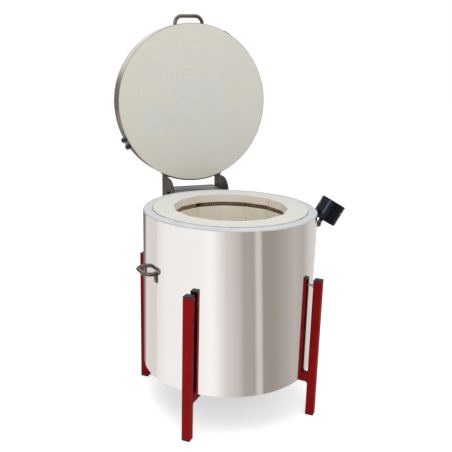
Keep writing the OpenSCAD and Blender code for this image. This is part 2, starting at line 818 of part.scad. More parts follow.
// The shelf bracket: a folded hood with cheeks for the pin, closed at the back
module hood_plan(w, h, r) {
    translate([0, -h]) soft_square(w, 2 * h, r);
}

module hinge_bracket() {
    inner_w = bracket_w - 2 * bracket_t;
    r1 = body_r + fit + bracket_t;
    color("gray") difference() {
        union() {
            difference() {
                translate([0, bracket_y, shelf_z]) rotate([90, 0, 0]) linear_extrude(bracket_y)
                    hood_plan(bracket_w, bracket_h, bracket_r);
                translate([0, bracket_y - bracket_t, shelf_z - bracket_t]) rotate([90, 0, 0])
                    linear_extrude(bracket_y) hood_plan(inner_w, bracket_h, bracket_r - bracket_t / 2);
            }
            back_flanges(cheek_az, shelf_z - bracket_h, bracket_h, r1);
        }
        translate([-bracket_w, -1, shelf_z - 3 * bracket_h])
            cube([2 * bracket_w, 2 * bracket_y, 2 * bracket_h]);
        translate([0, 0, shelf_z - 2 * bracket_h])
            cylinder(r = body_r + fit, h = 3 * bracket_h, $fn = fine);
        for (f = BRACKET_FIX) sheet_way(f, r1 + 1);
        hinge_bar(bush_d + fit, bracket_w + 2);
        stop_bars(stud_d + fit, bracket_w + 2);
    }
}

// A round bar along the pin
module hinge_bar(d, l) {
    translate([0, pivot_y, pivot_z]) rotate([0, 90, 0]) cylinder(d = d, h = l, center = true);
}

// Swings a child with the lid from closed to open
module swung() {
    translate([0, pivot_y, pivot_z]) rotate([-lid_open, 0, 0]) translate([0, -pivot_y, -pivot_z]) children();
}

// A round bar through both stop studs, which stand behind the plates of the open lid
module stop_bars(d, l) {
    swung() translate([0, stop_y, stop_z]) rotate([0, 90, 0]) cylinder(d = d, h = l, center = true);
}

module hinge_bracket_screws() {
    color("silver") for (f = BRACKET_FIX) sheet_screw(f[0], f[1], body_r + fit + bracket_t);
}

module hinge_bushings() {
    inner = bracket_w / 2 - bracket_t;
    flange_d = bush_d + 4 * hinge_bush_t;
    color("darkgoldenrod") for (s = [-1, 1]) translate([0, pivot_y, pivot_z]) rotate([0, s * 90, 0])
        difference() {
            union() {
                translate([0, 0, inner]) cylinder(d = bush_d, h = bracket_t + hinge_bush_flange);
                translate([0, 0, bracket_w / 2]) cylinder(d = flange_d, h = hinge_bush_flange);
            }
            cylinder(d = hinge_pin_d + 2 * pin_play, h = bracket_w);
        }
}

module hinge_pin() {
    color("silver") hinge_bar(hinge_pin_d, 2 * pin_half);
}

module hinge_pin_collars() {
    color("dimgray") for (s = [-1, 1]) translate([0, pivot_y, pivot_z]) rotate([0, s * 90, 0])
        translate([0, 0, plate_x + plate_t + fit]) difference() {
            cylinder(d = pin_collar_d, h = pin_collar_w);
            translate([0, 0, -1]) cylinder(d = hinge_pin_d + fit, h = pin_collar_w + 2);
        }
}

module lid_stop_studs() {
    half = bracket_w / 2;
    color("silver") swung() translate([0, stop_y, stop_z]) for (s = [-1, 1]) rotate([0, s * 90, 0]) {
        translate([0, 0, half - bracket_t - stud_in]) cylinder(d = stud_d, h = bracket_t + stud_in + 1);
        translate([0, 0, half]) cylinder(d = stop_d, h = plate_x + plate_t + stud_out - half);
    }
}

// Moves a child from the plane of a radius, with X outwards, to the thermocouple
module on_tc_plane() {
    rotate([0, 0, tc_az - 90]) children();
}

module thermocouple_flange() {
    r0 = body_r + fit;
    r1 = r0 + tc_flange_t + tc_boss;
    color("silver") difference() {
        union() {
            curved_plate(tc_az, tc_z - tc_flange_w / 2, tc_flange_w, tc_flange_w, r0, r0 + tc_flange_t);
            radial(tc_az, tc_z, neck_d + 2 * tc_boss_t, r0 + 1, r1);
        }
        radial(tc_az, tc_z, sheath_d + 2 * fit, body_r - 1, r1);
        radial(tc_az, tc_z, neck_d + fit, r0 + tc_seat, r1 + 1);
        for (f = TC_FIX) sheet_way(f, r1);
    }
}

module thermocouple_flange_screws() {
    color("silver") for (f = TC_FIX) sheet_screw(f[0], f[1], body_r + fit + tc_flange_t);
}

// The neck leaves the wall level and turns up into the head at a round elbow
module neck_bar(d, ball, over) {
    x0 = body_r + tc_seat + 2 * fit - over;
    on_tc_plane() {
        translate([x0, 0, tc_z]) rotate([0, 90, 0]) cylinder(d = d, h = neck_x - x0);
        translate([neck_x, 0, tc_z]) {
            sphere(d = ball);
            rotate([0, 90 - head_tilt, 0]) cylinder(d = d, h = neck_run + head_socket + over);
        }
    }
}

module thermocouple_neck() {
    color("silver") difference() {
        neck_bar(neck_d, elbow_d, 0);
        neck_bar(neck_d - 2 * neck_t, elbow_d - 2 * neck_t, 1);
    }
}

// Moves a child from upright to the axis of the head, with its base at the head's lower end
module on_head() {
    on_tc_plane() translate([head_x, 0, head_z]) rotate([0, 90 - head_tilt, 0])
        translate([0, 0, -head_l / 2]) children();
}

// A drum with rounded edges at the bottom and the top
module soft_drum(d, h, r) {
    rotate_extrude() {
        square([d / 2 - r, h]);
        translate([0, r]) square([d / 2, h - 2 * r]);
        for (y = [r, h - r]) translate([d / 2 - r, y]) circle(r = r);
    }
}

module thermocouple_head() {
    color([0.06, 0.07, 0.1]) on_head() difference() {
        union() {
            intersection() {
                soft_drum(head_d, head_l, head_r);
                cylinder(d = head_d + 1, h = head_l - cap_l - cap_gap);
            }
            cylinder(d = head_d - 8, h = head_l - cap_l);
        }
        translate([-neck_off, 0, -1]) cylinder(d = neck_d + fit, h = head_socket + 1 + fit);
    }
}

module thermocouple_cap() {
    color([0.06, 0.07, 0.1]) on_head() intersection() {
        soft_drum(head_d, head_l, head_r);
        translate([0, 0, head_l - cap_l]) cylinder(d = head_d + 1, h = cap_l);
    }
}

module thermocouple_sheath() {
    tip = flat_r - sheath_in;
    color("ivory") {
        radial(tc_az, tc_z, sheath_d, tip + sheath_d / 2, body_r + 12);
        around(tc_az, tc_z) translate([0, -tip - sheath_d / 2, 0]) sphere(d = sheath_d);
    }
}

// A bar bent to a D, its feet at y = 0 and its grip at y = -out
module bar_loop(grip, out, r) {
    y = out - bar_d / 2 - r;
    foot = 2 * bar_d;
    rotate([90, 0, 0]) for (s = [-1, 1])
        translate([s * grip / 2, 0, -foot]) cylinder(d = bar_d, h = y + foot);
    for (s = [-1, 1]) translate([s * (grip / 2 - r), -y, 0]) rotate([0, 0, s > 0 ? -90 : 180])
        rotate_extrude(angle = 90) translate([r, 0]) circle(d = bar_d);
    translate([0, -y - r, 0]) rotate([0, 90, 0]) cylinder(d = bar_d, h = grip - 2 * r, center = true);
}

module side_handle(az) {
    z = floor_gap + grip_z;
    r0 = body_r + fit;
    color("silver") difference() {
        union() {
            around(az, z) translate([0, -body_r, 0]) bar_loop(side_grip, grip_out, side_grip_r);
            for (f = [-1, 1])
                curved_plate(az + f * foot_az, z - tab_l, tab_w, tab_l + tab_w / 2, jacket_in, r0 + tab_t);
        }
        cylinder(r = r0, h = rim_z, $fn = fine);
        for (f = GRIP_FIX) sheet_way(f, r0 + tab_t + 1);
    }
}

module side_handle_right() { side_handle(GRIP_AZ[0]); }
module side_handle_left() { side_handle(GRIP_AZ[1]); }

module side_handle_screws() {
    color("silver") for (f = GRIP_FIX) sheet_screw(f[0], f[1], body_r + fit + tab_t);
}

// Screws through the band: the strap's from outside, the handle's from inside
module strap_screws(d) {
    for (az = STRAP_FIX) radial(az, strap_mid, d, strap_r - screw_in - strap_t, strap_r + 1);
}

module handle_screws(d, head_d, head_h) {
    around(lid_grip_az, band_mid) for (s = [-1, 1])
        translate([s * lid_grip / 2, -handle_seat, 0]) rotate([90, 0, 0]) {
            cylinder(d = d, h = screw_in + band_t);
            translate([0, 0, -head_h]) cylinder(d = head_d, h = head_h);
        }
}

module lid_bricks() {
    color("blanchedalmond") swung() difference() {
        translate([0, 0, lid_z]) brick_disc(slab_r, lid_brick_t, lid_shift_x, lid_shift_y);
        strap_screws(screw_d + 2);
        handle_screws(screw_head_d + 2, screw_head_d + 2, screw_head_h + 2);
    }
}

module lid_backing_board() {
    color("lightgray") swung() translate([0, 0, lid_z + lid_brick_t + fit])
        cylinder(r = slab_r, h = lid_t - lid_brick_t - fit);
}

module lid_band() {
    lip = 1;
    color("silver") swung() difference() {
        translate([0, 0, lid_z + lip]) cylinder(r = lid_r, h = lid_t - lip);
        translate([0, 0, lid_z]) cylinder(r = lid_r - band_t, h = lid_t + 1);
        strap_screws(screw_d + 2 * fit);
        handle_screws(screw_d + 2 * fit, screw_d, 1);
    }
}

// The ears stand on the band, each with a round outer end, and the bolt runs along the band
module ear_plan() {
    half = clamp_out / 2;
    circle(r = half);
    polygon([[0, half], [0, -half], [half + 2, -clamp_h / 2], [half + 2, clamp_h / 2]]);
}

module lid_band_clamp() {
    color("dimgray") swung() around(clamp_az, band_mid) for (s = [-1, 1]) difference() {
        translate([s * (clamp_l - clamp_ear) / 2 - clamp_ear / 2, -lid_r - clamp_out / 2, 0])
            rotate([90, 0, 90]) linear_extrude(clamp_ear) ear_plan();
        translate([0, -lid_r - clamp_out / 2, 0]) rotate([0, 90, 0])
            cylinder(d = clamp_bolt_d + fit, h = 2 * clamp_l, center = true);
        translate([0, 0, -clamp_h]) cylinder(r = lid_r + fit, h = 2 * clamp_h, $fn = fine);
    }
}

module lid_band_clamp_bolt() {
    head = clamp_bolt_d * 0.7;
    across = clamp_bolt_d * 1.7 / cos(30);
    y = -lid_r - clamp_out / 2;
    color("silver") swung() around(clamp_az, band_mid) translate([0, y, 0]) rotate([0, 90, 0]) {
        cylinder(d = clamp_bolt_d, h = clamp_l + 2 * head, center = true);
        for (s = [-1, 1]) translate([0, 0, s * (clamp_l + head) / 2])
            cylinder(d = across, h = head, center = true, $fn = 6);
    }
}

module lid_band_lap_strip() {
    edge = 8;
    r0 = lid_r + fit;
    color("dimgray") swung()
        curved_plate(lap_az, lid_z + edge, lap_w, lid_t - 2 * edge, r0, r0 + lap_t);
}

// A hinge plate with the lid closed: a lobe about the pin, an arm above it and a foot on the band
module plate_plan() {
    foot = lid_z + strap_inset - pivot_z;
    reach = pivot_y - sqrt(lid_r * lid_r - pow(plate_x + plate_t, 2)) + 4;
    intersection() {
        circle(r = plate_r);
        translate([-plate_r, -plate_r]) square([plate_r + plate_rear, 2 * plate_r]);
    }
    translate([-plate_r, 0]) square([plate_r + plate_rear, plate_top]);
    translate([-reach, foot]) square([reach, plate_top - foot]);
}

module lid_hinge_plates() {
    color("dimgray") swung() difference() {
        union() {
            for (x = [-plate_x - plate_t, plate_x]) translate([x, pivot_y, pivot_z]) rotate([90, 0, 90])
                linear_extrude(plate_t) plate_plan();
            curved_plate(180, strap_z, 2 * strap_r * sin(strap_a), strap_h, strap_in - 1, strap_r);
        }
        cylinder(r = strap_in, h = 2 * rim_z, $fn = fine);
        hinge_bar(hinge_pin_d + 2 * pin_play, 4 * plate_x);
        strap_screws(screw_d + fit);
    }
}

module lid_hinge_screws() {
    color("silver") swung() for (az = STRAP_FIX) sheet_screw(az, strap_mid, strap_r);
}

module lid_handle() {
    color("silver") swung() difference() {
        around(lid_grip_az, band_mid) translate([0, -lid_r, 0])
            bar_loop(lid_grip, lid_grip_out, lid_grip_r);
        cylinder(r = lid_r + fit, h = 2 * rim_z, $fn = fine);
        handle_screws(screw_d + fit, screw_d, 1);
    }
}

module lid_handle_screws() {
    color("silver") swung() handle_screws(screw_d, screw_head_d, screw_head_h);
}

base_beam_long();
base_beam_short();
leg_front_right();
leg_front_left();
leg_rear_right();
leg_rear_left();
leg_top_caps();
leg_feet();
standoff_rods();
standoff_nuts();
base_pan();
floor_backing_board();
floor_bricks();
jacket();
jacket_seam_strip();
backing_blanket();
wall_bricks();
heating_element_top();
heating_elements_lower();
terminal_pins();
terminal_bushings();
terminal_jumpers();
terminal_block();
terminal_box();
terminal_box_cover();
terminal_box_screws();
cable_gland();
hinge_bracket();
hinge_bracket_screws();
hinge_bushings();
hinge_pin();
hinge_pin_collars();
lid_stop_studs();
thermocouple_flange();
thermocouple_flange_screws();
thermocouple_neck();
thermocouple_head();
thermocouple_cap();
thermocouple_sheath();
side_handle_right();
side_handle_left();
side_handle_screws();
lid_bricks();
lid_backing_board();
lid_band();
lid_band_clamp();
lid_band_clamp_bolt();
lid_band_lap_strip();
lid_hinge_plates();
lid_hinge_screws();
lid_handle();
lid_handle_screws();
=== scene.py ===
"""Looks of the electric kiln: its finishes, wound elements, fibre collar, fixings and the studio."""
import json
import logging
import math
from dataclasses import dataclass, field
from enum import Enum

import bmesh
import bpy
import numpy as np
from mathutils import Matrix, Vector


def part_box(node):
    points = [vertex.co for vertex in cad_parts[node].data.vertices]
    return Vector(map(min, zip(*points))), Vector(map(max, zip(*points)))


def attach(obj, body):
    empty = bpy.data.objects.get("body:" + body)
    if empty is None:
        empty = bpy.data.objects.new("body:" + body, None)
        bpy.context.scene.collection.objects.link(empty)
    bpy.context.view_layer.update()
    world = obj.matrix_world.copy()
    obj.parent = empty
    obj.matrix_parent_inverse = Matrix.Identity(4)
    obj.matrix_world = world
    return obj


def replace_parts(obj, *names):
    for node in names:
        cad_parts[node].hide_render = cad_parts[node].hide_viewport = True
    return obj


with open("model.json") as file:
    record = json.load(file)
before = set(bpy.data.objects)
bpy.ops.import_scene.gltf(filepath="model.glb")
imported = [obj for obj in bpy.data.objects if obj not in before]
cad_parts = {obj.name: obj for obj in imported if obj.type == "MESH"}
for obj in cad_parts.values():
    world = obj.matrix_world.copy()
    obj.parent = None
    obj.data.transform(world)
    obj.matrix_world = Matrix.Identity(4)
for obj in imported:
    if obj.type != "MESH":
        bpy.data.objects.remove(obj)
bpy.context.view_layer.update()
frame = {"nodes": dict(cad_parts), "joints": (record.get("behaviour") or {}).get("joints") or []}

Array = np.ndarray
Piece = bpy.types.Object
Socket = bpy.types.NodeSocket
Span = tuple[float, float]
Vec3 = tuple[float, float, float]
Colour = tuple[float, float, float, float]
Value = Socket | float | Vec3 | Colour

LOG = logging.getLogger("kiln")
WHITE = (1.0, 1.0, 1.0, 1.0)

# A full turn in radians and a quarter turn in degrees
TURN = 2 * math.pi
QUARTER = 90.0

# Points closer than this many metres are one point, and the decimals that say the same
MERGE = 1e-6
MERGE_DECIMALS = 6

# Angles in degrees: edges are sharp from the first, and CAD faces are shaded smoothly up to the second
SHARP = 40.0
SMOOTH = 38.0

# Steps of a CAD node's rounded edge, and the weight of large faces where normals are evened
BEVEL_STEPS = 2
NORMAL_WEIGHT = 80

# Curve that turns display values into linear light
DISPLAY_FULL = 255
CURVE_KNEE = 0.04045
CURVE_SLOPE = 12.92
CURVE_LIFT = 0.055
CURVE_POWER = 2.4

# Sockets of the Mix node when it blends colours
MIX_FIRST = 6
MIX_SECOND = 7
MIX_RESULT = 2

# Shared effects: the clouds' noise, the grain's noise, the least pit, and the bleached middle in metres
CLOUD_DETAIL = 5.0
CLOUD_ROUGHNESS = 0.6
CLOUD_SPAN = (0.3, 0.7)
GRAIN_DETAIL = 3.0
LEAST_PIT = 0.001
BLEACH_SPAN = (0.1, 0.24)

# Brickwork: a brick's face and the shift of the lid's bond in metres, the number of flats in the chamber's
# wall, and a half width in metres that takes in the front one
BRICK_SIZE = (0.230, 0.114)
LID_SHIFT = (0.011, 0.010)
FLATS = 14
FRONT_HALF = 0.05

# A screw head's dome and socket, as shares of its radius and height
DOME = ((0, 0), (1, 0), (1, 0.4), (0.95, 0.66), (0.82, 0.86), (0.62, 0.97))
PLAIN_CROWN = 0.3
SOCKET_RIM = 0.04
SOCKET_WALL = 0.45
SOCKET_FLOOR = 0.4
SOCKET_SIDES = 6

# Steps in a rounded edge of sheet, the greatest share of a side beside it, and the rise of an upright axis
EDGE_STEPS = 4
SIDE_SHARE = 0.25
UPRIGHT = 0.9

# How much warmer the studio's darker cards are
WARM_LEVEL = 1.15
WARM_GREEN = 0.13
WARM_BLUE = 0.23


class Slot(Enum):
    """Material slots of the record."""

    RED_PAINT = "red_paint"
    JACKET_STEEL = "jacket_steel"
    BAND_STEEL = "band_steel"
    STEEL = "steel"
    SHEET_STEEL = "sheet_steel"
    BRACKET_STEEL = "bracket_steel"
    PLATE_STEEL = "plate_steel"
    BRICK = "brick"
    BOARD = "board"
    FIBRE = "fibre"
    ELEMENT = "element"
    PORCELAIN = "porcelain"
    BRONZE = "bronze"
    BLACK_PLASTIC = "black_plastic"
    HEAD_BLACK = "head_black"


class Body(Enum):
    """Bodies that pieces ride on."""

    KILN = "kiln"
    LID = "lid"


class Edge(Enum):
    """Widths of rounded edges in metres."""

    NONE = 0.0
    HAIR = 0.0003
    FINE = 0.0004
    SMALL = 0.0005
    PLAIN = 0.0006
    SOFT = 0.0008


class Effect(Enum):
    """Surface effects that several finishes share, each a shader node group."""

    MOTTLE = "mottle"
    GRAIN = "grain"
    PITS = "pits"
    BOND = "bond_tone"
    RING = "ring_tone"


def rgb(red: float, green: float, blue: float) -> Colour:
    """Gives the linear colour of a display colour.

    Args:
        red: Red from 0 to 255.
        green: Green from 0 to 255.
        blue: Blue from 0 to 255.

    Returns:
        Linear red, green and blue, with an alpha of 1.
    """
    shown = np.array([red, green, blue]) / DISPLAY_FULL
    curve = ((shown + CURVE_LIFT) / (1 + CURVE_LIFT)) ** CURVE_POWER
    linear = np.where(shown <= CURVE_KNEE, shown / CURVE_SLOPE, curve)
    return (float(linear[0]), float(linear[1]), float(linear[2]), 1.0)


@dataclass
class Wiring:
    """Places nodes in one node tree and links them."""

    tree: bpy.types.NodeTree

    def add(self, kind: str, inputs: dict[str | int, Value] | None = None,
            **settings: object) -> bpy.types.Node:
        """Adds a node.

        Args:
            kind: The node's type.
            inputs: A socket to link, or a value to set, for each input by name or number.
            **settings: The node's own settings.

        Returns:
            The new node.
        """
        node = self.tree.nodes.new(kind)
        for name, value in settings.items():
            setattr(node, name, value)
        for name, value in (inputs or {}).items():
            if isinstance(value, bpy.types.NodeSocket):
                self.tree.links.new(value, node.inputs[name])
            else:
                node.inputs[name].default_value = value
        return node

    def math(self, operation: str, first: Value, second: Value = 0.0) -> Socket:
        """Gives the result of one arithmetic operation."""
        return self.add("ShaderNodeMath", {0: first, 1: second}, operation=operation).outputs[0]

    def plus(self, first: Value, second: Value) -> Socket:
        """Gives a sum."""
        return self.math("ADD", first, second)

    def minus(self, first: Value, second: Value) -> Socket:
        """Gives a difference."""
        return self.math("SUBTRACT", first, second)

    def times(self, first: Value, second: Value) -> Socket:
        """Gives a product."""
        return self.math("MULTIPLY", first, second)

    def over(self, first: Value, second: Value) -> Socket:
        """Gives a quotient."""
        return self.math("DIVIDE", first, second)

    def split(self, vector: Socket) -> list[Socket]:
        """Gives x, y and z of a vector."""
        return self.add("ShaderNodeSeparateXYZ", {0: vector}).outputs[:3]

    def azimuth(self, x: Socket, y: Socket) -> Socket:
        """Gives the angle about the upright axis, from the front."""
        return self.math("ARCTAN2", x, self.times(y, -1.0))

    def chance(self, first: Socket, second: Socket) -> Socket:
        """Gives white noise on two whole numbers."""
        cell = self.add("ShaderNodeCombineXYZ", {0: first, 1: second}).outputs[0]
        return self.add("ShaderNodeTexWhiteNoise", {"Vector": cell}, noise_dimensions="2D").outputs[0]

    def mix(self, factor: Value, first: Value, second: Value) -> Socket:
        """Gives the first colour blended to the second by a factor."""
        inputs = {0: factor, MIX_FIRST: first, MIX_SECOND: second}
        return self.add("ShaderNodeMix", inputs, data_type="RGBA").outputs[MIX_RESULT]

    def spread(self, value: Socket, low: float, high: float) -> Socket:
        """Gives a value of 0 to 1 spread from low to high."""
        return self.add("ShaderNodeMapRange", {"Value": value, "To Min": low, "To Max": high}).outputs[0]

    def step(self, value: Socket, start: float, end: float) -> Socket:
        """Gives a soft step from 0 at start to 1 at end."""
        inputs = {"Value": value, "From Min": start, "From Max": end}
        return self.add("ShaderNodeMapRange", inputs, interpolation_type="SMOOTHSTEP").outputs[0]

    def bump(self, height: Socket, depth: float) -> Socket:
        """Gives the normal of a surface with a height of up to depth metres."""
        return self.add("ShaderNodeBump", {"Height": height, "Distance": depth, "Strength": 1.0}).outputs[0]

    def place(self) -> Socket:
        """Gives the place on the piece in metres."""
        return self.add("ShaderNodeTexCoord").outputs["Object"]

    def effect(self, effect: Effect, **inputs: Value) -> Socket:
        """Places an effect's group with its inputs and gives its output."""
        named = {name.capitalize(): value for name, value in inputs.items()}
        return self.add("ShaderNodeGroup", named, node_tree=effect_tree(effect)).outputs[0]

    def surface(self, **inputs: Value) -> None:
        """Ends a material in a shader whose inputs are given by name, with _ for a space."""
        named = {name.replace("_", " "): value for name, value in inputs.items()}
        self.add("ShaderNodeOutputMaterial", {0: self.add("ShaderNodeBsdfPrincipled", named).outputs[0]})


def blank(owner: bpy.types.ID) -> Wiring:
    """Empties the nodes of a material or a world.

    Args:
        owner: The material or world.

    Returns:
        Its wiring.
    """
    owner.use_nodes = True
    owner.node_tree.nodes.clear()
    return Wiring(owner.node_tree)


def wire_mottle(w: Wiring, given: dict[str, Socket]) -> Socket:
    """Cloudy patches: fractal noise, spread to fill 0 to 1."""
    inputs = {**given, "Detail": CLOUD_DETAIL, "Roughness": CLOUD_ROUGHNESS}
    return w.step(w.add("ShaderNodeTexNoise", inputs).outputs[0], *CLOUD_SPAN)


def wire_grain(w: Wiring, given: dict[str, Socket]) -> Socket:
    """Streaks: noise on a place that is stretched by its own scale along each axis.

    Args:
        w: The group's wiring.
        given: Its inputs by name.

    Returns:
        The grain, from 0 to 1.
    """
    factors = {0: given["Vector"], 1: given["Stretch"]}
    stretched = w.add("ShaderNodeVectorMath", factors, operation="MULTIPLY").outputs[0]
    inputs = {"Vector": stretched, "Scale": 1.0, "Detail": GRAIN_DETAIL}
    return w.add("ShaderNodeTexNoise", inputs).outputs[0]


def wire_pits(w: Wiring, given: dict[str, Socket]) -> Socket:
    """Pits: a soft spot in the middle of one cell in a few, of a random share of the size.

    Args:
        w: The group's wiring.
        given: Its inputs by name.

    Returns:
        The pits, 1 in the middle of each.
    """
    cells = w.add("ShaderNodeTexVoronoi", {"Vector": given["Vector"], "Scale": given["Scale"]})
    chance = w.add("ShaderNodeSeparateColor", {"Color": cells.outputs["Color"]})
    reached = w.plus(w.times(given["Size"], chance.outputs[0]), LEAST_PIT)
    spot = w.step(w.over(cells.outputs["Distance"], reached), 1.0, 0.5)
    return w.times(spot, w.math("GREATER_THAN", chance.outputs[1], given["Sparse"]))


def wire_bond(w: Wiring, given: dict[str, Socket]) -> Socket:
    """Tone of each brick in running bond.

    White noise on the brick's row and column is blended with a step on the distance of the brick's
    middle from the pattern's middle, by the share that the heat has bleached.

    Args:
        w: The group's wiring.
        given: Its inputs by name.

    Returns:
        The tone, from 0 to 1.
    """
    along, across, _ = w.split(given["Vector"])
    row = w.math("FLOOR", w.over(across, given["Width"]))
    half = w.times(w.math("FLOORED_MODULO", row, 2.0), 0.5)
    column = w.math("FLOOR", w.minus(w.over(along, given["Length"]), half))
    x = w.times(w.plus(w.plus(column, half), 0.5), given["Length"])
    y = w.times(w.plus(row, 0.5), given["Width"])
    far = w.step(w.math("SQRT", w.plus(w.times(x, x), w.times(y, y))), *BLEACH_SPAN)
    plain = w.times(w.chance(column, row), w.minus(1.0, given["Bleached"]))
    return w.plus(plain, w.times(far, given["Bleached"]))


def wire_ring(w: Wiring, given: dict[str, Socket]) -> Socket:
    """Tone of each brick in a ring wall: white noise on the number of its flat and of its course.

    Args:
        w: The group's wiring.
        given: Its inputs by name.

    Returns:
        The tone, from 0 to 1.
    """
    x, y, z = w.split(given["Vector"])
    flat = w.math("ROUND", w.times(w.azimuth(x, y), w.over(given["Sides"], TURN)))
    return w.chance(flat, w.math("FLOOR", w.over(z, given["Course"])))


EFFECTS = {
    Effect.MOTTLE: (wire_mottle, ("Scale",)),
    Effect.GRAIN: (wire_grain, ("Stretch",)),
    Effect.PITS: (wire_pits, ("Scale", "Size", "Sparse")),
    Effect.BOND: (wire_bond, ("Length", "Width", "Bleached")),
    Effect.RING: (wire_ring, ("Sides", "Course")),
}


def effect_tree(effect: Effect) -> bpy.types.NodeTree:
    """Gives an effect's node group, which is built when it is first asked for.

    Args:
        effect: The effect.

    Returns:
        The group, with a Vector, the effect's own inputs and one Value as its output.
    """
    tree = bpy.data.node_groups.get(effect.value)
    if tree is None:
        tree = bpy.data.node_groups.new(effect.value, "ShaderNodeTree")
        wire, own = EFFECTS[effect]
        names = ("Vector", *own)
        for name in names:
            kind = "NodeSocketVector" if name in ("Vector", "Stretch") else "NodeSocketFloat"
            tree.interface.new_socket(name, in_out="INPUT", socket_type=kind)
        tree.interface.new_socket("Value", in_out="OUTPUT", socket_type="NodeSocketFloat")
        w = Wiring(tree)
        start = w.add("NodeGroupInput")
        w.add("NodeGroupOutput", {"Value": wire(w, {name: start.outputs[name] for name in names})})
    return tree


@dataclass(frozen=True)
class Finish:
    """A finish: its name, its slot and the two colours that its tone moves between."""

    name: str
    slot: Slot
    colour: Colour
    shade: Colour

    def material(self) -> bpy.types.Material:
        """Gives the material, which is built when it is first asked for.

        Returns:
            The material.
        """
        name = self.name + "_finish"
        found = bpy.data.materials.get(name)
        if found is None:
            found = bpy.data.materials.new(name)
            self.wire(blank(found))
        return found

    def wire(self, w: Wiring) -> None:
        """Builds the material's nodes."""
        raise NotImplementedError


@dataclass(frozen=True)
class Metal(Finish):
    """Bare metal: streaks of grain, smudges that dull it, and a tint that drifts."""

    roughness: float = 0.2
    dulling: float = 0.08
    smudge: float = 7.0
    stretch: Vec3 = (90.0, 90.0, 900.0)
    depth: float = 0.00002
    metallic: float = 1.0

    def wire(self, w: Wiring) -> None:
        """Mixes the tint by smudges, and the roughness by smudges and grain.

        Args:
            w: The material's wiring.
        """
        place = w.place()
        smudge = w.effect(Effect.MOTTLE, vector=place, scale=self.smudge)
        grain = w.effect(Effect.GRAIN, vector=place, stretch=self.stretch)
        w.surface(
            Base_Color=w.mix(smudge, self.colour, self.shade),
            Metallic=self.metallic,
            Roughness=w.spread(w.times(smudge, grain), self.roughness, self.roughness + self.dulling),
            Normal=w.bump(grain, self.depth),
        )


@dataclass(frozen=True)
class Paint(Finish):
    """Sprayed paint: a fine orange peel, a tone that drifts and a thin clear gloss."""

    roughness: float = 0.3
    dulling: float = 0.12
    drift: float = 9.0
    peel: float = 420.0
    depth: float = 0.00003
    gloss: float = 0.03
    gloss_roughness: float = 0.12
    specular: float = 0.15
    metallic: float = 0.0

    def wire(self, w: Wiring) -> None:
        """Mixes the tone by cloudy patches and raises the orange peel.

        Args:
            w: The material's wiring.
        """
        place = w.place()
        drift = w.effect(Effect.MOTTLE, vector=place, scale=self.drift)
        peel = w.effect(Effect.MOTTLE, vector=place, scale=self.peel)
        w.surface(
            Base_Color=w.mix(drift, self.colour, self.shade),
            Metallic=self.metallic,
            Roughness=w.spread(drift, self.roughness, self.roughness + self.dulling),
            Specular_IOR_Level=self.specular,
            Coat_Weight=self.gloss,
            Coat_Roughness=self.gloss_roughness,
            Normal=w.bump(peel, self.depth),
        )


@dataclass(frozen=True)
class Brick(Finish):
    """Insulating brick: a tone for each brick, yellow stains, fine pores and sparse pits."""

    stain: Colour = (0.5, 0.4, 0.2, 1.0)
    stained: float = 0.35
    stain_scale: float = 5.0
    pores: float = 260.0
    pore_tint: float = 0.12
    pore_share: float = 0.25
    pit: Colour = (0.3, 0.25, 0.18, 1.0)
    pit_scale: float = 45.0
    pit_size: float = 0.16
    pit_sparse: float = 0.8
    pit_tint: float = 0.6
    roughness: Span = (0.82, 0.95)
    specular: float = 0.2
    depth: float = 0.0006

    def tone(self, w: Wiring, place: Socket) -> Socket:
        """Gives the tone of each brick."""
        raise NotImplementedError

    def with_painted_shade(self, w: Wiring, place: Socket, colour: Socket) -> Socket:
        """Gives the colour with its painted shade, which is none here."""
        return colour

    def wire(self, w: Wiring) -> None:
        """Mixes the brick's tone, its stains and its pits, and sinks the pores and pits.

        Args:
            w: The material's wiring.
        """
        place = w.place()
        body = w.mix(self.tone(w, place), self.colour, self.shade)
        stains = w.effect(Effect.MOTTLE, vector=place, scale=self.stain_scale)
        # The stained colour also carries the brick's painted shade, where its kind has any.
        stained = self.with_painted_shade(w, place, w.mix(w.times(stains, self.stained), body, self.stain))
        pits = w.effect(Effect.PITS, vector=place, scale=self.pit_scale, size=self.pit_size,
                        sparse=self.pit_sparse)
        pores = w.effect(Effect.MOTTLE, vector=place, scale=self.pores)
        speckled = w.mix(w.times(pores, self.pore_tint), stained, self.pit)
        height = w.plus(w.times(pores, -self.pore_share), w.times(pits, -1.0))
        w.surface(
            Base_Color=w.mix(w.times(pits, self.pit_tint), speckled, self.pit),
            Roughness=w.spread(pores, *self.roughness),
            Specular_IOR_Level=self.specular,
            Normal=w.bump(height, self.depth),
        )


@dataclass(frozen=True)
class BondBrick(Brick):
    """Bricks in running bond, on a pattern that is turned and shifted to lie on the bricks."""

    bleached: float = 0.0
    turn: float = 0.0
    shift: Vec3 = (0.0, 0.0, 0.0)

    def tone(self, w: Wiring, place: Socket) -> Socket:
        """Gives the tone of each brick from its row and column.

        Args:
            w: The material's wiring.
            place: The place on the piece.

        Returns:
            The tone, from 0 to 1.
        """
        inputs = {"Vector": place, "Rotation": (self.turn, 0.0, 0.0), "Location": self.shift}
        laid = w.add("ShaderNodeMapping", inputs).outputs[0]
        length, width = BRICK_SIZE
        return w.effect(Effect.BOND, vector=laid, length=length, width=width, bleached=self.bleached)


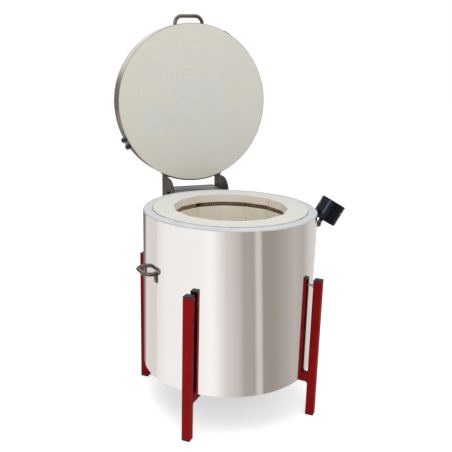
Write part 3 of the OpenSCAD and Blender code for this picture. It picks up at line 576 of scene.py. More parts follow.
@dataclass(frozen=True)
class RingBrick(Brick):
    """Bricks of the round wall, one to each flat and course below the rim.

    Painted shade darkens the grooves, starting and full at two depths behind the flats, and the rim's
    greyer top colour starts and is full at two depths below the rim; the wall under it is drawn lighter as
    painted light.
    """

    rim: float = 0.742
    flat: float = 0.2
    # The rim's top colour, greyer than the wall below, which is drawn lighter as painted light for the
    # chamber's shade.
    rim_top_colour: Colour = (0.6, 0.6, 0.6, 1.0)
    rim_top_span: Span = (0.003, 0.001)
    # Painted shade: the grooves behind the flats are drawn near black.
    painted_groove_shade: Colour = (0.2, 0.15, 0.1, 1.0)
    painted_groove_shade_span: Span = (0.001, 0.006)

    def tone(self, w: Wiring, place: Socket) -> Socket:
        """Gives the tone of each brick from its flat and course.

        Args:
            w: The material's wiring.
            place: The place on the piece.

        Returns:
            The tone, from 0 to 1.
        """
        inputs = {"Vector": place, "Location": (0.0, 0.0, -self.rim)}
        hung = w.add("ShaderNodeMapping", inputs).outputs[0]
        return w.effect(Effect.RING, vector=hung, sides=float(FLATS), course=BRICK_SIZE[1])

    def with_painted_shade(self, w: Wiring, place: Socket, colour: Socket) -> Socket:
        """Gives the colour with painted shade in the grooves and the rim's greyer top colour.

        The depth behind a flat is x sin b - y cos b less the flats' distance, with b the azimuth of
        the nearest flat's middle.

        Args:
            w: The material's wiring.
            place: The place on the piece.
            colour: The brick's own colour.

        Returns:
            The colour with its painted shade.
        """
        x, y, height = w.split(place)
        side = TURN / FLATS
        middle = w.times(w.math("ROUND", w.over(w.azimuth(x, y), side)), side)
        depth = w.minus(w.times(x, w.math("SINE", middle)), w.times(y, w.math("COSINE", middle)))
        # Painted shade darkens the grooves, then the rim's top takes its greyer colour.
        groove_shaded = w.step(depth, *(self.flat + behind for behind in self.painted_groove_shade_span))
        at_rim_top = w.step(height, *(self.rim - below for below in self.rim_top_span))
        return w.mix(at_rim_top, w.mix(groove_shaded, colour, self.painted_groove_shade), self.rim_top_colour)


@dataclass(frozen=True)
class Mineral(Finish):
    """Fibre, board or glazed ceramic: cloudy tone, strands or grains and a dull or glazed skin."""

    roughness: float = 0.9
    combing: float = 0.08
    cloud: float = 14.0
    stretch: Vec3 = (300.0, 300.0, 900.0)
    depth: float = 0.0004
    glaze: float = 0.0

    def wire(self, w: Wiring) -> None:
        """Mixes the tone by clouds and strands, and raises the strands.

        Args:
            w: The material's wiring.
        """
        place = w.place()
        cloud = w.effect(Effect.MOTTLE, vector=place, scale=self.cloud)
        strands = w.effect(Effect.GRAIN, vector=place, stretch=self.stretch)
        w.surface(
            Base_Color=w.mix(w.times(cloud, strands), self.colour, self.shade),
            Roughness=w.spread(strands, self.roughness - self.combing, self.roughness),
            Coat_Weight=self.glaze,
            Normal=w.bump(strands, self.depth),
        )


@dataclass(frozen=True)
class Moulded(Finish):
    """Moulded or enamelled black: a fine texture, a blue cast that drifts and a tinted glint."""

    roughness: float = 0.35
    dulling: float = 0.1
    cast: float = 18.0
    texture: float = 800.0
    depth: float = 0.00004
    specular: float = 0.3
    glint: Colour = WHITE

    def wire(self, w: Wiring) -> None:
        """Mixes the cast by clouds and raises the fine texture.

        Args:
            w: The material's wiring.
        """
        place = w.place()
        cast = w.effect(Effect.MOTTLE, vector=place, scale=self.cast)
        fine = w.effect(Effect.MOTTLE, vector=place, scale=self.texture)
        w.surface(
            Base_Color=w.mix(cast, self.colour, self.shade),
            Roughness=w.spread(fine, self.roughness, self.roughness + self.dulling),
            Specular_IOR_Level=self.specular,
            Specular_Tint=self.glint,
            Normal=w.bump(fine, self.depth),
        )


def node_points(node: str) -> Array:
    """Gives the vertices of a CAD node.

    Args:
        node: The node's name.

    Returns:
        One row of x, y and z in metres for each vertex.
    """
    vertices = frame["nodes"][node].data.vertices
    flat = np.empty(3 * len(vertices), np.float32)
    vertices.foreach_get("co", flat)
    return flat.reshape(-1, 3).astype(float)


def node_triangles(node: str) -> Array:
    """Gives the triangles of a CAD node.

    Args:
        node: The node's name.

    Returns:
        One row of three vertex numbers for each triangle.
    """
    mesh = frame["nodes"][node].data
    mesh.calc_loop_triangles()
    flat = np.empty(3 * len(mesh.loop_triangles), np.int32)
    mesh.loop_triangles.foreach_get("vertices", flat)
    return flat.reshape(-1, 3)


def islands(node: str) -> list[Array]:
    """Gives the points of each separate solid of a CAD node.

    Points that coincide are one point. Each starts with its own label, and every triangle hands
    the least label of its corners to all three until nothing changes.

    Args:
        node: The node's name.

    Returns:
        The points of each solid.
    """
    rounded = np.round(node_points(node), MERGE_DECIMALS)
    points, inverse = np.unique(rounded, axis=0, return_inverse=True)
    corners = inverse.ravel()[node_triangles(node)]
    labels = np.arange(len(points))
    while True:
        least = labels[corners].min(axis=1)
        spread = labels.copy()
        np.minimum.at(spread, corners.ravel(), np.repeat(least, 3))
        if np.array_equal(spread, labels):
            break
        labels = spread
    return [points[labels == label] for label in np.unique(labels)]


def flat_distance() -> float:
    """Gives the distance of the chamber's flats from the axis, from the front flat of the wall.

    Returns:
        The distance in metres.
    """
    points = node_points("wall_bricks")
    front = points[(np.abs(points[:, 0]) < FRONT_HALF) & (points[:, 1] < 0)]
    return float(-front[:, 1].max())


def reach(points: Array) -> float:
    """Gives the greatest distance of points from the upright axis."""
    return float(np.hypot(points[:, 0], points[:, 1]).max())


def heights(points: Array) -> Span:
    """Gives the least and the greatest height of points."""
    return float(points[:, 2].min()), float(points[:, 2].max())


def outward(azimuth: float) -> Array:
    """Gives the level direction away from the axis at an azimuth in radians."""
    return np.array([math.sin(azimuth), -math.cos(azimuth), 0.0])


def sideways(azimuth: float) -> Array:
    """Gives the level direction across an azimuth in radians."""
    return np.array([math.cos(azimuth), math.sin(azimuth), 0.0])


def unit(vectors: Array) -> Array:
    """Gives vectors at a length of 1."""
    return vectors / np.linalg.norm(vectors, axis=-1, keepdims=True)


def revolved(profile: Array, turns: int) -> Array:
    """Surface of revolution: a point (r, z) of the profile goes to (r sin t, -r cos t, z).

    Args:
        profile: Radius and height of each point.
        turns: Number of steps round the axis.

    Returns:
        A grid of points, profile by angle.
    """
    t = np.linspace(0, TURN, turns + 1)
    r, z = profile[:, :1], profile[:, 1:]
    return np.stack([r * np.sin(t), -r * np.cos(t), z + 0 * t], axis=-1)


def tube(path: Array, up: Array, radius: float, sides: int) -> Array:
    """Round tube along a path, closed at its ends.

    At each point, with t along the path, e the part of up across t and f = t x e, the ring is
    the path's point plus radius (cos a e + sin a f).

    Args:
        path: Points of the middle line.
        up: A direction across the path for each point.
        radius: Radius of the tube.
        sides: Number of sides.

    Returns:
        A grid of points, path by angle.
    """
    t = unit(np.gradient(path, axis=0))
    e = unit(up - np.sum(up * t, axis=1, keepdims=True) * t)
    f = np.cross(t, e)
    a = np.linspace(0, TURN, sides + 1)[None, :, None]
    rings = path[:, None] + radius * (np.cos(a) * e[:, None] + np.sin(a) * f[:, None])
    ends = np.repeat(path[[0, -1], None], sides + 1, axis=1)
    return np.concatenate([ends[:1], rings, ends[1:]])


def arc(centre: Span, radius: float, start: float, end: float, steps: int) -> Array:
    """Arc of a profile: centre plus radius (cos a, sin a), with a from start to end in degrees."""
    a = np.radians(np.linspace(start, end, steps))
    return np.stack([centre[0] + radius * np.cos(a), centre[1] + radius * np.sin(a)], axis=1)


def ring_profile(inner: float, outer: float, low: float, high: float, edge: float) -> Array:
    """Closed profile of a sheet ring: a quarter circle at each corner, and points that keep its sides flat.

    Args:
        inner: Inner radius.
        outer: Outer radius.
        low: Height of the lower edge.
        high: Height of the upper edge.
        edge: Radius of the rounded corners.

    Returns:
        Radius and height of each point.
    """
    middles = ((outer - edge, low + edge), (outer - edge, high - edge),
               (inner + edge, high - edge), (inner + edge, low + edge))
    arcs = [arc(middle, edge, (k - 1) * QUARTER, k * QUARTER, EDGE_STEPS)
            for k, middle in enumerate(middles)]
    rows = []
    for first, second in zip(arcs, arcs[1:] + arcs[:1]):
        side = second[:1] - first[-1:]
        step = side * min(SIDE_SHARE, edge / np.linalg.norm(side))
        rows += [first, first[-1:] + step, second[:1] - step]
    return np.concatenate(rows + [arcs[0][:1]])


def stood(grid: Array, foot: Array, axis: Array) -> Array:
    """Stands a grid that is modelled along Z on a foot point: foot plus x u + y v + z w, with w the axis.

    Args:
        grid: The grid of points.
        foot: The place of its origin.
        axis: The direction of its Z.

    Returns:
        The grid in its place.
    """
    w = unit(axis)
    side = np.array([0.0, 0.0, 1.0]) if abs(w[2]) < UPRIGHT else np.array([1.0, 0.0, 0.0])
    u = unit(np.cross(side, w))
    return foot + grid @ np.stack([u, np.cross(w, u), w])


def strip(start: Array, end: Array, across: Array, up: Array) -> Array:
    """Bar of rectangular section: corners at plus and minus across and up from a line, closed at its ends.

    Args:
        start: First point of the line.
        end: Last point of the line.
        across: Half of the section's width.
        up: Half of the section's height.

    Returns:
        A grid of points, line by corner.
    """
    ring = np.stack([across + up, up - across, -across - up, across - up, across + up])
    middles = np.stack([np.broadcast_to(point, ring.shape) for point in (start, end)])
    return np.concatenate([middles[:1], middles + ring, middles[1:]])


def domed_head(radius: float, height: float, socket: float, steps: int = 24) -> Array:
    """Screw head with a domed top and a six-sided socket, closed below.

    The surface is the profile (r, z) turned about Z. In the socket the radius is also times
    cos 30 / cos(a), with a the angle from the middle of the nearest of six flats.

    Args:
        radius: Radius of the head.
        height: Height of the head.
        socket: Radius of the socket's corners, or 0 for a plain dome.
        steps: Steps round the head.

    Returns:
        A grid of points, profile by angle.
    """
    crown = socket / radius + SOCKET_RIM if socket else PLAIN_CROWN
    grid = revolved(np.array([*DOME, (crown, 1.0)]) * (radius, height), steps)
    if socket:
        side = TURN / SOCKET_SIDES
        t = np.linspace(0, TURN, steps + 1)
        flats = np.cos(side / 2) / np.cos(t % side - side / 2)
        wall = revolved(np.array([(socket, height), (socket, SOCKET_WALL * height)]), steps)
        wall[..., :2] *= flats[None, :, None]
        grid = np.concatenate([grid, wall])
    floor = SOCKET_FLOOR * height if socket else height
    return np.concatenate([grid, np.broadcast_to((0, 0, floor), (1, steps + 1, 3))])


def grid_faces(rows: int, cols: int) -> Array:
    """Gives the four corners of each quad of a grid that is counted row by row."""
    first = (np.arange(rows - 1)[:, None] * cols + np.arange(cols - 1)).ravel()
    return np.stack([first, first + 1, first + cols + 1, first + cols], axis=1)


def placed(name: str, data: bpy.types.ID) -> Piece:
    """Puts a new object into the scene.

    Args:
        name: The object's name.
        data: Its mesh, lamp or camera.

    Returns:
        The object.
    """
    obj = bpy.data.objects.new(name, data)
    bpy.context.scene.collection.objects.link(obj)
    return obj


def made(name: str, body: Body, finish: Finish, grids: list[Array], sharp: float = SHARP) -> Piece:
    """Makes a piece from grids of points: seams and poles merged, faces outwards, on its body.

    Args:
        name: The piece's name.
        body: The body that it rides on.
        finish: Its finish.
        grids: Its surfaces, each rows by columns by three.
        sharp: Angle in degrees from which an edge is sharp.

    Returns:
        The object.
    """
    starts = np.cumsum([0] + [grid.shape[0] * grid.shape[1] for grid in grids])
    faces = [grid_faces(*grid.shape[:2]) + start for grid, start in zip(grids, starts)]
    mesh = bpy.data.meshes.new(name)
    mesh.from_pydata(np.concatenate([grid.reshape(-1, 3) for grid in grids]), [],
                     np.concatenate(faces).tolist())
    work = bmesh.new()
    work.from_mesh(mesh)
    bmesh.ops.remove_doubles(work, verts=work.verts, dist=MERGE)
    bmesh.ops.recalc_face_normals(work, faces=work.faces)
    work.to_mesh(mesh)
    work.free()
    mesh.polygons.foreach_set("use_smooth", np.ones(len(mesh.polygons), bool))
    mesh.set_sharp_from_angle(angle=math.radians(sharp))
    mesh.materials.append(finish.material())
    obj = placed(name, mesh)
    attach(obj, body.value)
    LOG.info("made %s: %d faces", name, len(mesh.polygons))
    return obj


def smoothing_tree() -> bpy.types.NodeTree:
    """Gives the geometry group that shades faces smoothly across edges that bend little.

    Returns:
        The group, built when it is first asked for.
    """
    name = "smooth_shading"
    tree = bpy.data.node_groups.get(name)
    if tree is None:
        tree = bpy.data.node_groups.new(name, "GeometryNodeTree")
        for way in ("INPUT", "OUTPUT"):
            tree.interface.new_socket("Geometry", in_out=way, socket_type="NodeSocketGeometry")
        w = Wiring(tree)
        start = w.add("NodeGroupInput").outputs[0]
        bend = w.add("GeometryNodeInputMeshEdgeAngle").outputs[0]
        soft = w.add("FunctionNodeCompare", {0: bend, 1: math.radians(SMOOTH)}, operation="LESS_EQUAL")
        faces = w.add("GeometryNodeSetShadeSmooth", {0: start, 2: True}, domain="FACE").outputs[0]
        edges = w.add("GeometryNodeSetShadeSmooth", {0: faces, 2: soft.outputs[0]}, domain="EDGE")
        w.add("NodeGroupOutput", {0: edges.outputs[0]})
    return tree


def dress(finish: Finish, edge: Edge, *nodes: str, even: bool = False) -> None:
    """Gives CAD nodes their finish, a rounded edge and smooth shading.

    Args:
        finish: The finish.
        edge: Width of the rounded edges.
        *nodes: The nodes' names.
        even: Whether large faces keep their own normals next to small ones, as gloss needs.
    """
    for node in nodes:
        obj = frame["nodes"][node]
        for holder in obj.material_slots:
            holder.material = finish.material()
        obj.modifiers.new("joined", "WELD").merge_threshold = MERGE
        if edge is not Edge.NONE:
            bevel = obj.modifiers.new("edge", "BEVEL")
            bevel.width = edge.value
            bevel.segments = BEVEL_STEPS
            bevel.limit_method = "ANGLE"
            bevel.angle_limit = math.radians(SHARP)
            bevel.harden_normals = True
        obj.modifiers.new("shading", "NODES").node_group = smoothing_tree()
        if even:
            normals = obj.modifiers.new("normals", "WEIGHTED_NORMAL")
            normals.mode = "FACE_AREA_WITH_ANGLE"
            normals.weight = NORMAL_WEIGHT
            normals.keep_sharp = True
        LOG.info("dressed %s in %s", node, finish.name)


@dataclass
class Swing:
    """The lid's hinge, which carries a point from the closed lid to the open one and back."""

    pivot: Array = field(default_factory=lambda: np.array(frame["joints"][0]["pos_m"]))
    angle: float = math.radians(frame["joints"][0]["range_deg"][1])

    def turned(self, points: Array, angle: float) -> Array:
        """Turns points about the pin, which lies along X."""
        c, s = math.cos(angle), math.sin(angle)
        return (points - self.pivot) @ np.array([[1, 0, 0], [0, c, s], [0, -s, c]]) + self.pivot

    def opened(self, points: Array) -> Array:
        """Carries points of the closed lid to the open lid."""
        return self.turned(points, -self.angle)

    def closed(self, points: Array) -> Array:
        """Carries points of the open lid to the closed lid."""
        return self.turned(points, self.angle)

    def pattern_shift(self) -> Vec3:
        """Gives the place that puts the lid's brick pattern on the bricks of the open lid."""
        x, y, z = self.closed(np.zeros(3))
        return (x - LID_SHIFT[0], y - LID_SHIFT[1], z)


SWING = Swing()

RED = Paint("red_paint", Slot.RED_PAINT, rgb(146, 12, 15), rgb(134, 10, 13), roughness=0.4,
            specular=0.06, gloss=0.01)
POLISHED = Metal("polished_steel", Slot.JACKET_STEEL, rgb(247, 246, 246), rgb(245, 244, 243),
                 roughness=0.03, dulling=0.015, smudge=3.0, stretch=(220.0, 220.0, 6.0), depth=0.000001)
BAND = Metal("band_steel", Slot.BAND_STEEL, rgb(208, 200, 190), rgb(180, 170, 158), roughness=0.16,
             dulling=0.1, stretch=(60.0, 60.0, 60.0), depth=0.00001)
BAR = Metal("bright_bar", Slot.STEEL, rgb(130, 122, 114), rgb(88, 81, 74), roughness=0.14,
            dulling=0.1, stretch=(160.0, 160.0, 160.0), depth=0.00003)
ZINC = Metal("zinc_steel", Slot.STEEL, rgb(190, 190, 188), rgb(158, 158, 156), roughness=0.3,
             dulling=0.18, smudge=60.0, stretch=(400.0, 400.0, 400.0))
GALVANISED = Metal("galvanised_sheet", Slot.SHEET_STEEL, rgb(194, 196, 198), rgb(166, 170, 174),
                   roughness=0.32, dulling=0.16, smudge=70.0, stretch=(30.0, 30.0, 30.0))
SHELF = Paint("grey_shelf", Slot.BRACKET_STEEL, rgb(124, 124, 126), rgb(108, 108, 111), roughness=0.32,
              specular=0.5, metallic=0.4)
PLATE = Paint("dark_plate", Slot.PLATE_STEEL, rgb(90, 76, 62), rgb(68, 57, 47), roughness=0.36,
              specular=0.4, metallic=0.5)
DARK_IRON = Metal("dark_iron", Slot.PLATE_STEEL, rgb(84, 80, 78), rgb(58, 54, 52), roughness=0.38,
                  dulling=0.2, smudge=30.0, stretch=(300.0, 300.0, 300.0), metallic=0.8)
# Painted light and shade: the wall is drawn lighter than the rim's top to make up for the chamber's shade,
# and its grooves near black.
WALL = RingBrick("wall_brick", Slot.BRICK, rgb(240, 238, 231), rgb(238, 233, 220), stain=rgb(226, 209, 166),
                 pit=rgb(170, 150, 116), flat=flat_distance(), rim_top_colour=rgb(221, 221, 215),
                 painted_groove_shade=rgb(40, 31, 24))
FLOOR_BRICK = BondBrick("floor_brick", Slot.BRICK, rgb(224, 218, 200), rgb(214, 206, 182),
                        stain=rgb(208, 188, 146), pit=rgb(150, 132, 100),
                        shift=(0.0, BRICK_SIZE[1] / 2, 0.0))
LID_BRICK = BondBrick("lid_brick", Slot.BRICK, rgb(211, 213, 211), rgb(215, 212, 201),
                      stain=rgb(211, 202, 178), pit=rgb(150, 142, 126), stained=0.25, bleached=0.6,
                      turn=SWING.angle, shift=SWING.pattern_shift())
CEMENT = Mineral("joint_cement", Slot.BRICK, rgb(216, 215, 207), rgb(211, 209, 200), roughness=0.95)
BOARD = Mineral("backing_board", Slot.BOARD, rgb(206, 203, 196), rgb(186, 182, 173), roughness=0.95)
FIBRE = Mineral("fibre_blanket", Slot.FIBRE, rgb(208, 211, 212), rgb(192, 196, 199), roughness=1.0,
                cloud=22.0, stretch=(180.0, 180.0, 420.0), depth=0.0008)
WIRE = Metal("element_wire", Slot.ELEMENT, rgb(196, 164, 130), rgb(172, 140, 108), roughness=0.5,
             dulling=0.2, smudge=50.0, stretch=(500.0, 500.0, 500.0), metallic=0.2)
PORCELAIN = Mineral("porcelain", Slot.PORCELAIN, rgb(236, 233, 224), rgb(222, 217, 204), roughness=0.35,
                    depth=0.00005, glaze=0.4)
BRONZE = Metal("bronze", Slot.BRONZE, rgb(186, 140, 84), rgb(150, 106, 60), roughness=0.3, dulling=0.18,
               smudge=40.0, stretch=(300.0, 300.0, 300.0))
CAP_PLASTIC = Moulded("cap_plastic", Slot.BLACK_PLASTIC, rgb(38, 41, 46), rgb(30, 33, 38), roughness=0.42)
HEAD = Moulded("head_enamel", Slot.HEAD_BLACK, rgb(8, 10, 17), rgb(6, 7, 12), roughness=0.14,
               specular=0.35, glint=rgb(192, 216, 255))


@dataclass
class Screws:
    """Domed screws with a six-sided socket in the place of plain ones."""

    node: str
    body: Body
    finish: Finish = ZINC
    head_h: float = 0.0036
    socket_share: float = 0.5
    outer_share: float = 0.9
    shank_sides: int = 12

    def build(self) -> None:
        """Builds one head and shank on each screw's own axis, which is the long one of its points."""
        grids = []
        for points in islands(self.node):
            middle = points.mean(axis=0)
            axis = np.linalg.svd(points - middle)[2][0]
            along = (points - middle) @ axis
            across = np.linalg.norm(points - middle - along[:, None] * axis, axis=1)
            radius, shank = across.max(), across.min()
            axis = axis if along[across > self.outer_share * radius].mean() > 0 else -axis
            along = (points - middle) @ axis
            foot = middle + (along.max() - self.head_h) * axis
            tip = along.min() - along.max() + self.head_h
            profile = np.array([(0, tip), (shank, tip), (shank, 0), (0, 0)])
            grids.append(stood(domed_head(radius, self.head_h, self.socket_share * radius), foot, axis))
            grids.append(stood(revolved(profile, self.shank_sides), foot, axis))
        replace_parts(made("socket_" + self.node, self.body, self.finish, grids), self.node)


@dataclass
class Sheetwork:
    """Thin sheet that the body and the lid share: rings with rounded edges, and domed rivets."""

    sheet: float = 0.0015
    hem: float = 0.0006
    turns: int = 256
    rivet_r: float = 0.004
    rivet_h: float = 0.0022

    def ring(self, outer: float, low: float, high: float) -> Array:
        """Gives a smooth ring of sheet: its profile turned about the axis."""
        return revolved(ring_profile(outer - self.sheet, outer, low, high, self.hem), self.turns)

    def rivet(self, radius: float, way: Array, level: float) -> Array:
        """Gives a domed rivet that stands outwards on a round wall."""
        return stood(domed_head(self.rivet_r, self.rivet_h, 0.0), radius * way + (0, 0, level), way)


@dataclass
class Stand:
    """The red stand: tube legs and beams, welded in a hollow fillet, with plastic caps and feet."""

    weld_r: float = 0.008
    weld_half: float = 0.0125
    weld_sunk: float = 0.0005
    weld_steps: tuple[int, int] = (25, 9)
    ripple: float = 0.04
    ripple_pitch: float = 0.003
    ends: tuple[tuple[float, str], ...] = (
        (45.0, "base_beam_long"), (-45.0, "base_beam_short"),
        (135.0, "base_beam_short"), (-135.0, "base_beam_long"),
    )

    def weld(self, t: float, inner: float, level: float, way: float) -> Array:
        """Hollow fillet in the corner between a beam and a leg.

        Across the width s, the surface is the quarter circle that touches both tubes, with its
        radius rippled by a sine along s, closed by the corner itself.

        Args:
            t: Azimuth of the leg in radians.
            inner: Radius of the leg's inner face.
            level: Height of the beam's face.
            way: 1 for the upper face, -1 for the lower one.

        Returns:
            A grid of points, width by profile.
        """
        wide, round_steps = self.weld_steps
        s = np.linspace(-self.weld_half, self.weld_half, wide)[:, None]
        rho = self.weld_r * (1 + self.ripple * np.sin(s * TURN / self.ripple_pitch))
        a = np.radians(np.linspace(-QUARTER, 0, round_steps))[None, :]
        r = inner - rho + rho * np.cos(a)
        z = rho * (1 + np.sin(a))
        r = np.concatenate([r, r[:, -1:] + self.weld_sunk, r[:, :1], r[:, :1]], axis=1)
        z = np.concatenate([z, -self.weld_sunk + 0 * z[:, :2], z[:, :1]], axis=1)
        grid = r[..., None] * outward(t) + s[..., None] * sideways(t)
        grid[..., 2] = level + way * z
        ends = np.repeat(grid[[0, -1]].mean(axis=1, keepdims=True), grid.shape[1], axis=1)
        return np.concatenate([ends[:1], grid, ends[1:]])

    def build(self) -> None:
        """Builds the welds and dresses the tubes, caps, feet and stand-offs."""
        welds = []
        for azimuth, beam in self.ends:
            low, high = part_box(beam)
            t = math.radians(azimuth)
            inner = float((node_points(beam) @ outward(t)).max())
            welds += [self.weld(t, inner, high.z, 1), self.weld(t, inner, low.z, -1)]
        made("stand_welds", Body.KILN, RED, welds)
        dress(RED, Edge.NONE, "base_beam_long", "base_beam_short", "leg_front_right", "leg_front_left",
              "leg_rear_right", "leg_rear_left")
        dress(CAP_PLASTIC, Edge.SOFT, "leg_top_caps", "leg_feet")
        dress(ZINC, Edge.FINE, "standoff_rods", "standoff_nuts")


@dataclass
class Shell(Sheetwork):
    """The body: polished jacket, base pan, brick lining and the fibre blanket with its soft collar."""

    blanket_fit: float = 0.0003
    blanket_sharp: float = 60.0
    shoulder_drop: float = 0.02
    shoulder_steps: int = 7
    crown_steps: int = 8
    lip_r: float = 0.004
    lip_steps: int = 5
    lump: float = 0.0007
    lump_sunk: float = 0.6
    lump_seed: int = 4
    waves: tuple[int, ...] = (5, 12, 19, 26, 33)
    rivets: int = 8
    rivet_inset: float = 0.03
    joint_half: float = 0.00025
    joint_sunk: float = 0.00015
    joint_deep: float = 0.024

    def jacket(self) -> None:
        """Builds the jacket as one smooth ring of sheet with rounded edges."""
        low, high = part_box("jacket")
        grid = self.ring(high.x, low.z, high.z)
        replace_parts(made("jacket_shell", Body.KILN, POLISHED, [grid]), "jacket")

    def blanket(self) -> None:
        """Builds the blanket: a ring whose soft collar swells and sinks by a sum of sines round the rim."""
        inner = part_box("wall_bricks")[1].x + self.blanket_fit
        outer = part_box("backing_blanket")[1].x
        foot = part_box("base_pan")[1].z + self.blanket_fit
        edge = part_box("jacket")[1].z
        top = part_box("backing_blanket")[1].z
        shoulder = arc((outer - (top - edge), edge), top - edge, 0, QUARTER, self.shoulder_steps)
        lip = arc((inner + self.lip_r, top - self.lip_r), self.lip_r, QUARTER, 2 * QUARTER, self.lip_steps)
        across = np.linspace(shoulder[-1, 0], lip[0, 0], self.crown_steps)[1:-1]
        crown = np.stack([across, np.full(len(across), top)], axis=1)
        walls = np.array([(inner, foot), (outer, foot), (outer, edge - self.shoulder_drop)])
        profile = np.concatenate([walls, shoulder, crown, lip, walls[:1]])
        grid = revolved(profile, self.turns)
        t = np.linspace(0, TURN, self.turns + 1)
        phase = np.random.default_rng(self.lump_seed).uniform(0, TURN, (len(self.waves), 1))
        swell = np.sin(np.array(self.waves)[:, None] * t + phase).mean(axis=0)
        soft = np.clip((profile[:, 1] - edge) / (top - edge), 0, 1)
        grid[..., 2] += self.lump * soft[:, None] * (swell[None, :] - self.lump_sunk)
        piece = made("fibre_blanket", Body.KILN, FIBRE, [grid], self.blanket_sharp)
        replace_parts(piece, "backing_blanket")

    def rim_cement(self) -> None:
        """Fills the joints of the rim: a strip on each radius between two flats, just below the rim."""
        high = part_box("wall_bricks")[1]
        inner = flat_distance() / math.cos(math.pi / FLATS) + 4 * self.joint_half
        middle = np.array([0.0, 0.0, high.z - self.joint_sunk - self.joint_deep / 2])
        up = np.array([0.0, 0.0, self.joint_deep / 2])
        grids = [strip(middle + inner * outward(t), middle + (high.x - self.joint_half) * outward(t),
                       self.joint_half * sideways(t), up)
                 for t in (np.arange(FLATS) + 0.5) * TURN / FLATS]
        made("rim_cement", Body.KILN, CEMENT, grids)

    def seam_rivets(self) -> None:
        """Builds a column of domed rivets down the seam strip."""
        points = node_points("jacket_seam_strip")
        way = unit(points.mean(axis=0) * (1.0, 1.0, 0.0))
        low, high = heights(points)
        levels = np.linspace(low + self.rivet_inset, high - self.rivet_inset, self.rivets)
        grids = [self.rivet(reach(points), way, level) for level in levels]
        made("seam_rivets", Body.KILN, ZINC, grids)

    def build(self) -> None:
        """Builds the shells and dresses the lining, the pan and the side handles."""
        self.jacket()
        self.blanket()
        self.rim_cement()
        self.seam_rivets()
        dress(WALL, Edge.NONE, "wall_bricks")
        dress(FLOOR_BRICK, Edge.SOFT, "floor_bricks")
        dress(BOARD, Edge.SOFT, "floor_backing_board")
        dress(GALVANISED, Edge.FINE, "base_pan")
        dress(POLISHED, Edge.NONE, "jacket_seam_strip")
        dress(BAR, Edge.SMALL, "side_handle_right", "side_handle_left")
        Screws("side_handle_screws", Body.KILN).build()


@dataclass
class Elements:
    """The wound heating elements in their grooves, led out to the terminal pins."""

    wire_d: float = 0.0035
    coil_d: float = 0.0155
    curls: int = 126
    rings: int = 12
    sides: int = 6
    lead_off: float = 0.009
    lead_len: float = 0.014
    lead_step: float = 0.005
    groove_half: float = 0.0085

    def coil(self, level: float) -> Array:
        """One element: a helix about an axis that follows the flats, with straight leads at both ends.

        With u from 0 to 1 and the axis at azimuth b(u), the axis lies at the flats' distance over
        the cosine of the angle from the nearest flat's middle. The wire stands off it by half of the
        coil's width less the wire's, cos p of it outwards and sin p upwards, with p the curls' phase.

        Args:
            level: Height of the element.

        Returns:
            A grid of points, path by angle.
        """
        side = TURN / FLATS
        lead = math.pi + side / 2
        flat = flat_distance() + self.groove_half
        start = (flat - self.lead_off * math.sin(side / 2)) / math.cos(side / 2)
        gap = math.asin(self.lead_off / start)
        u = np.linspace(0, 1, self.curls * self.rings + 1)
        b = lead + gap + u * (TURN - 2 * gap)
        far = flat / np.cos((b + side / 2) % side - side / 2)
        axis = np.stack([far * np.sin(b), -far * np.cos(b), np.full_like(b, level)], axis=1)
        p = math.pi / 2 + TURN * self.curls * u
        stand = np.stack([np.cos(p) * np.sin(b), -np.cos(p) * np.cos(b), np.sin(p)], axis=1)
        ease = np.minimum(1, np.minimum(u, 1 - u) * self.curls)[:, None]
        wound = axis + (self.coil_d - self.wire_d) / 2 * ease * stand
        ends = [[(start + self.lead_len - k) * outward(lead) + way * self.lead_off * sideways(lead)
                 for k in (0.0, self.lead_step)] for way in (1, -1)]
        leads = np.array(ends) + (0.0, 0.0, level)
        upright = np.tile((0.0, 0.0, 1.0), (2, 1))
        path = np.concatenate([leads[0], wound, leads[1][::-1]])
        return tube(path, np.concatenate([upright, stand, upright]), self.wire_d / 2, self.sides)

    def build(self) -> None:
        """Winds the rows, and dresses the pins, bushings, straps and block."""
        low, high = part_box("heating_element_top")
        top = [self.coil((low.z + high.z) / 2)]
        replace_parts(made("wound_element_top", Body.KILN, WIRE, top), "heating_element_top")
        lower = [self.coil(sum(heights(row)) / 2) for row in islands("heating_elements_lower")]
        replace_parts(made("wound_elements_lower", Body.KILN, WIRE, lower), "heating_elements_lower")
        dress(BAR, Edge.FINE, "terminal_pins")
        dress(PORCELAIN, Edge.PLAIN, "terminal_bushings")
        dress(ZINC, Edge.HAIR, "terminal_jumpers")
        dress(PORCELAIN, Edge.SOFT, "terminal_block")


@dataclass
class TerminalBox:
    """The sheet box over the terminals, with its vented cover and cable gland."""

    edge: Edge = Edge.SMALL

    def build(self) -> None:
        """Dresses the box, cover and gland, and builds the screws."""
        dress(GALVANISED, self.edge, "terminal_box", "terminal_box_cover")
        dress(CAP_PLASTIC, self.edge, "cable_gland")
        Screws("terminal_box_screws", Body.KILN).build()


@dataclass
class Hinge:
    """The shelf bracket with its bushings, pin, collars and stop studs."""

    edge: Edge = Edge.PLAIN
    bushing_edge: Edge = Edge.HAIR

    def build(self) -> None:
        """Dresses the bracket and the pieces on the pin, and builds the screws."""
        dress(SHELF, self.edge, "hinge_bracket")
        dress(BRONZE, self.bushing_edge, "hinge_bushings")
        dress(BAR, self.edge, "hinge_pin")
        dress(DARK_IRON, self.edge, "hinge_pin_collars")
        dress(ZINC, self.edge, "lid_stop_studs")
        Screws("hinge_bracket_screws", Body.KILN).build()


@dataclass
class Thermocouple:
    """The thermocouple: flange and neck on the jacket, black connection head with its cap."""

    edge: Edge = Edge.PLAIN

    def build(self) -> None:
        """Dresses the flange, neck, head, cap and sheath, and builds the screws."""
        dress(ZINC, self.edge, "thermocouple_flange")
        dress(BAR, self.edge, "thermocouple_neck")
        dress(HEAD, self.edge, "thermocouple_head", "thermocouple_cap", even=True)
        dress(PORCELAIN, Edge.NONE, "thermocouple_sheath")
        Screws("thermocouple_flange_screws", Body.KILN).build()


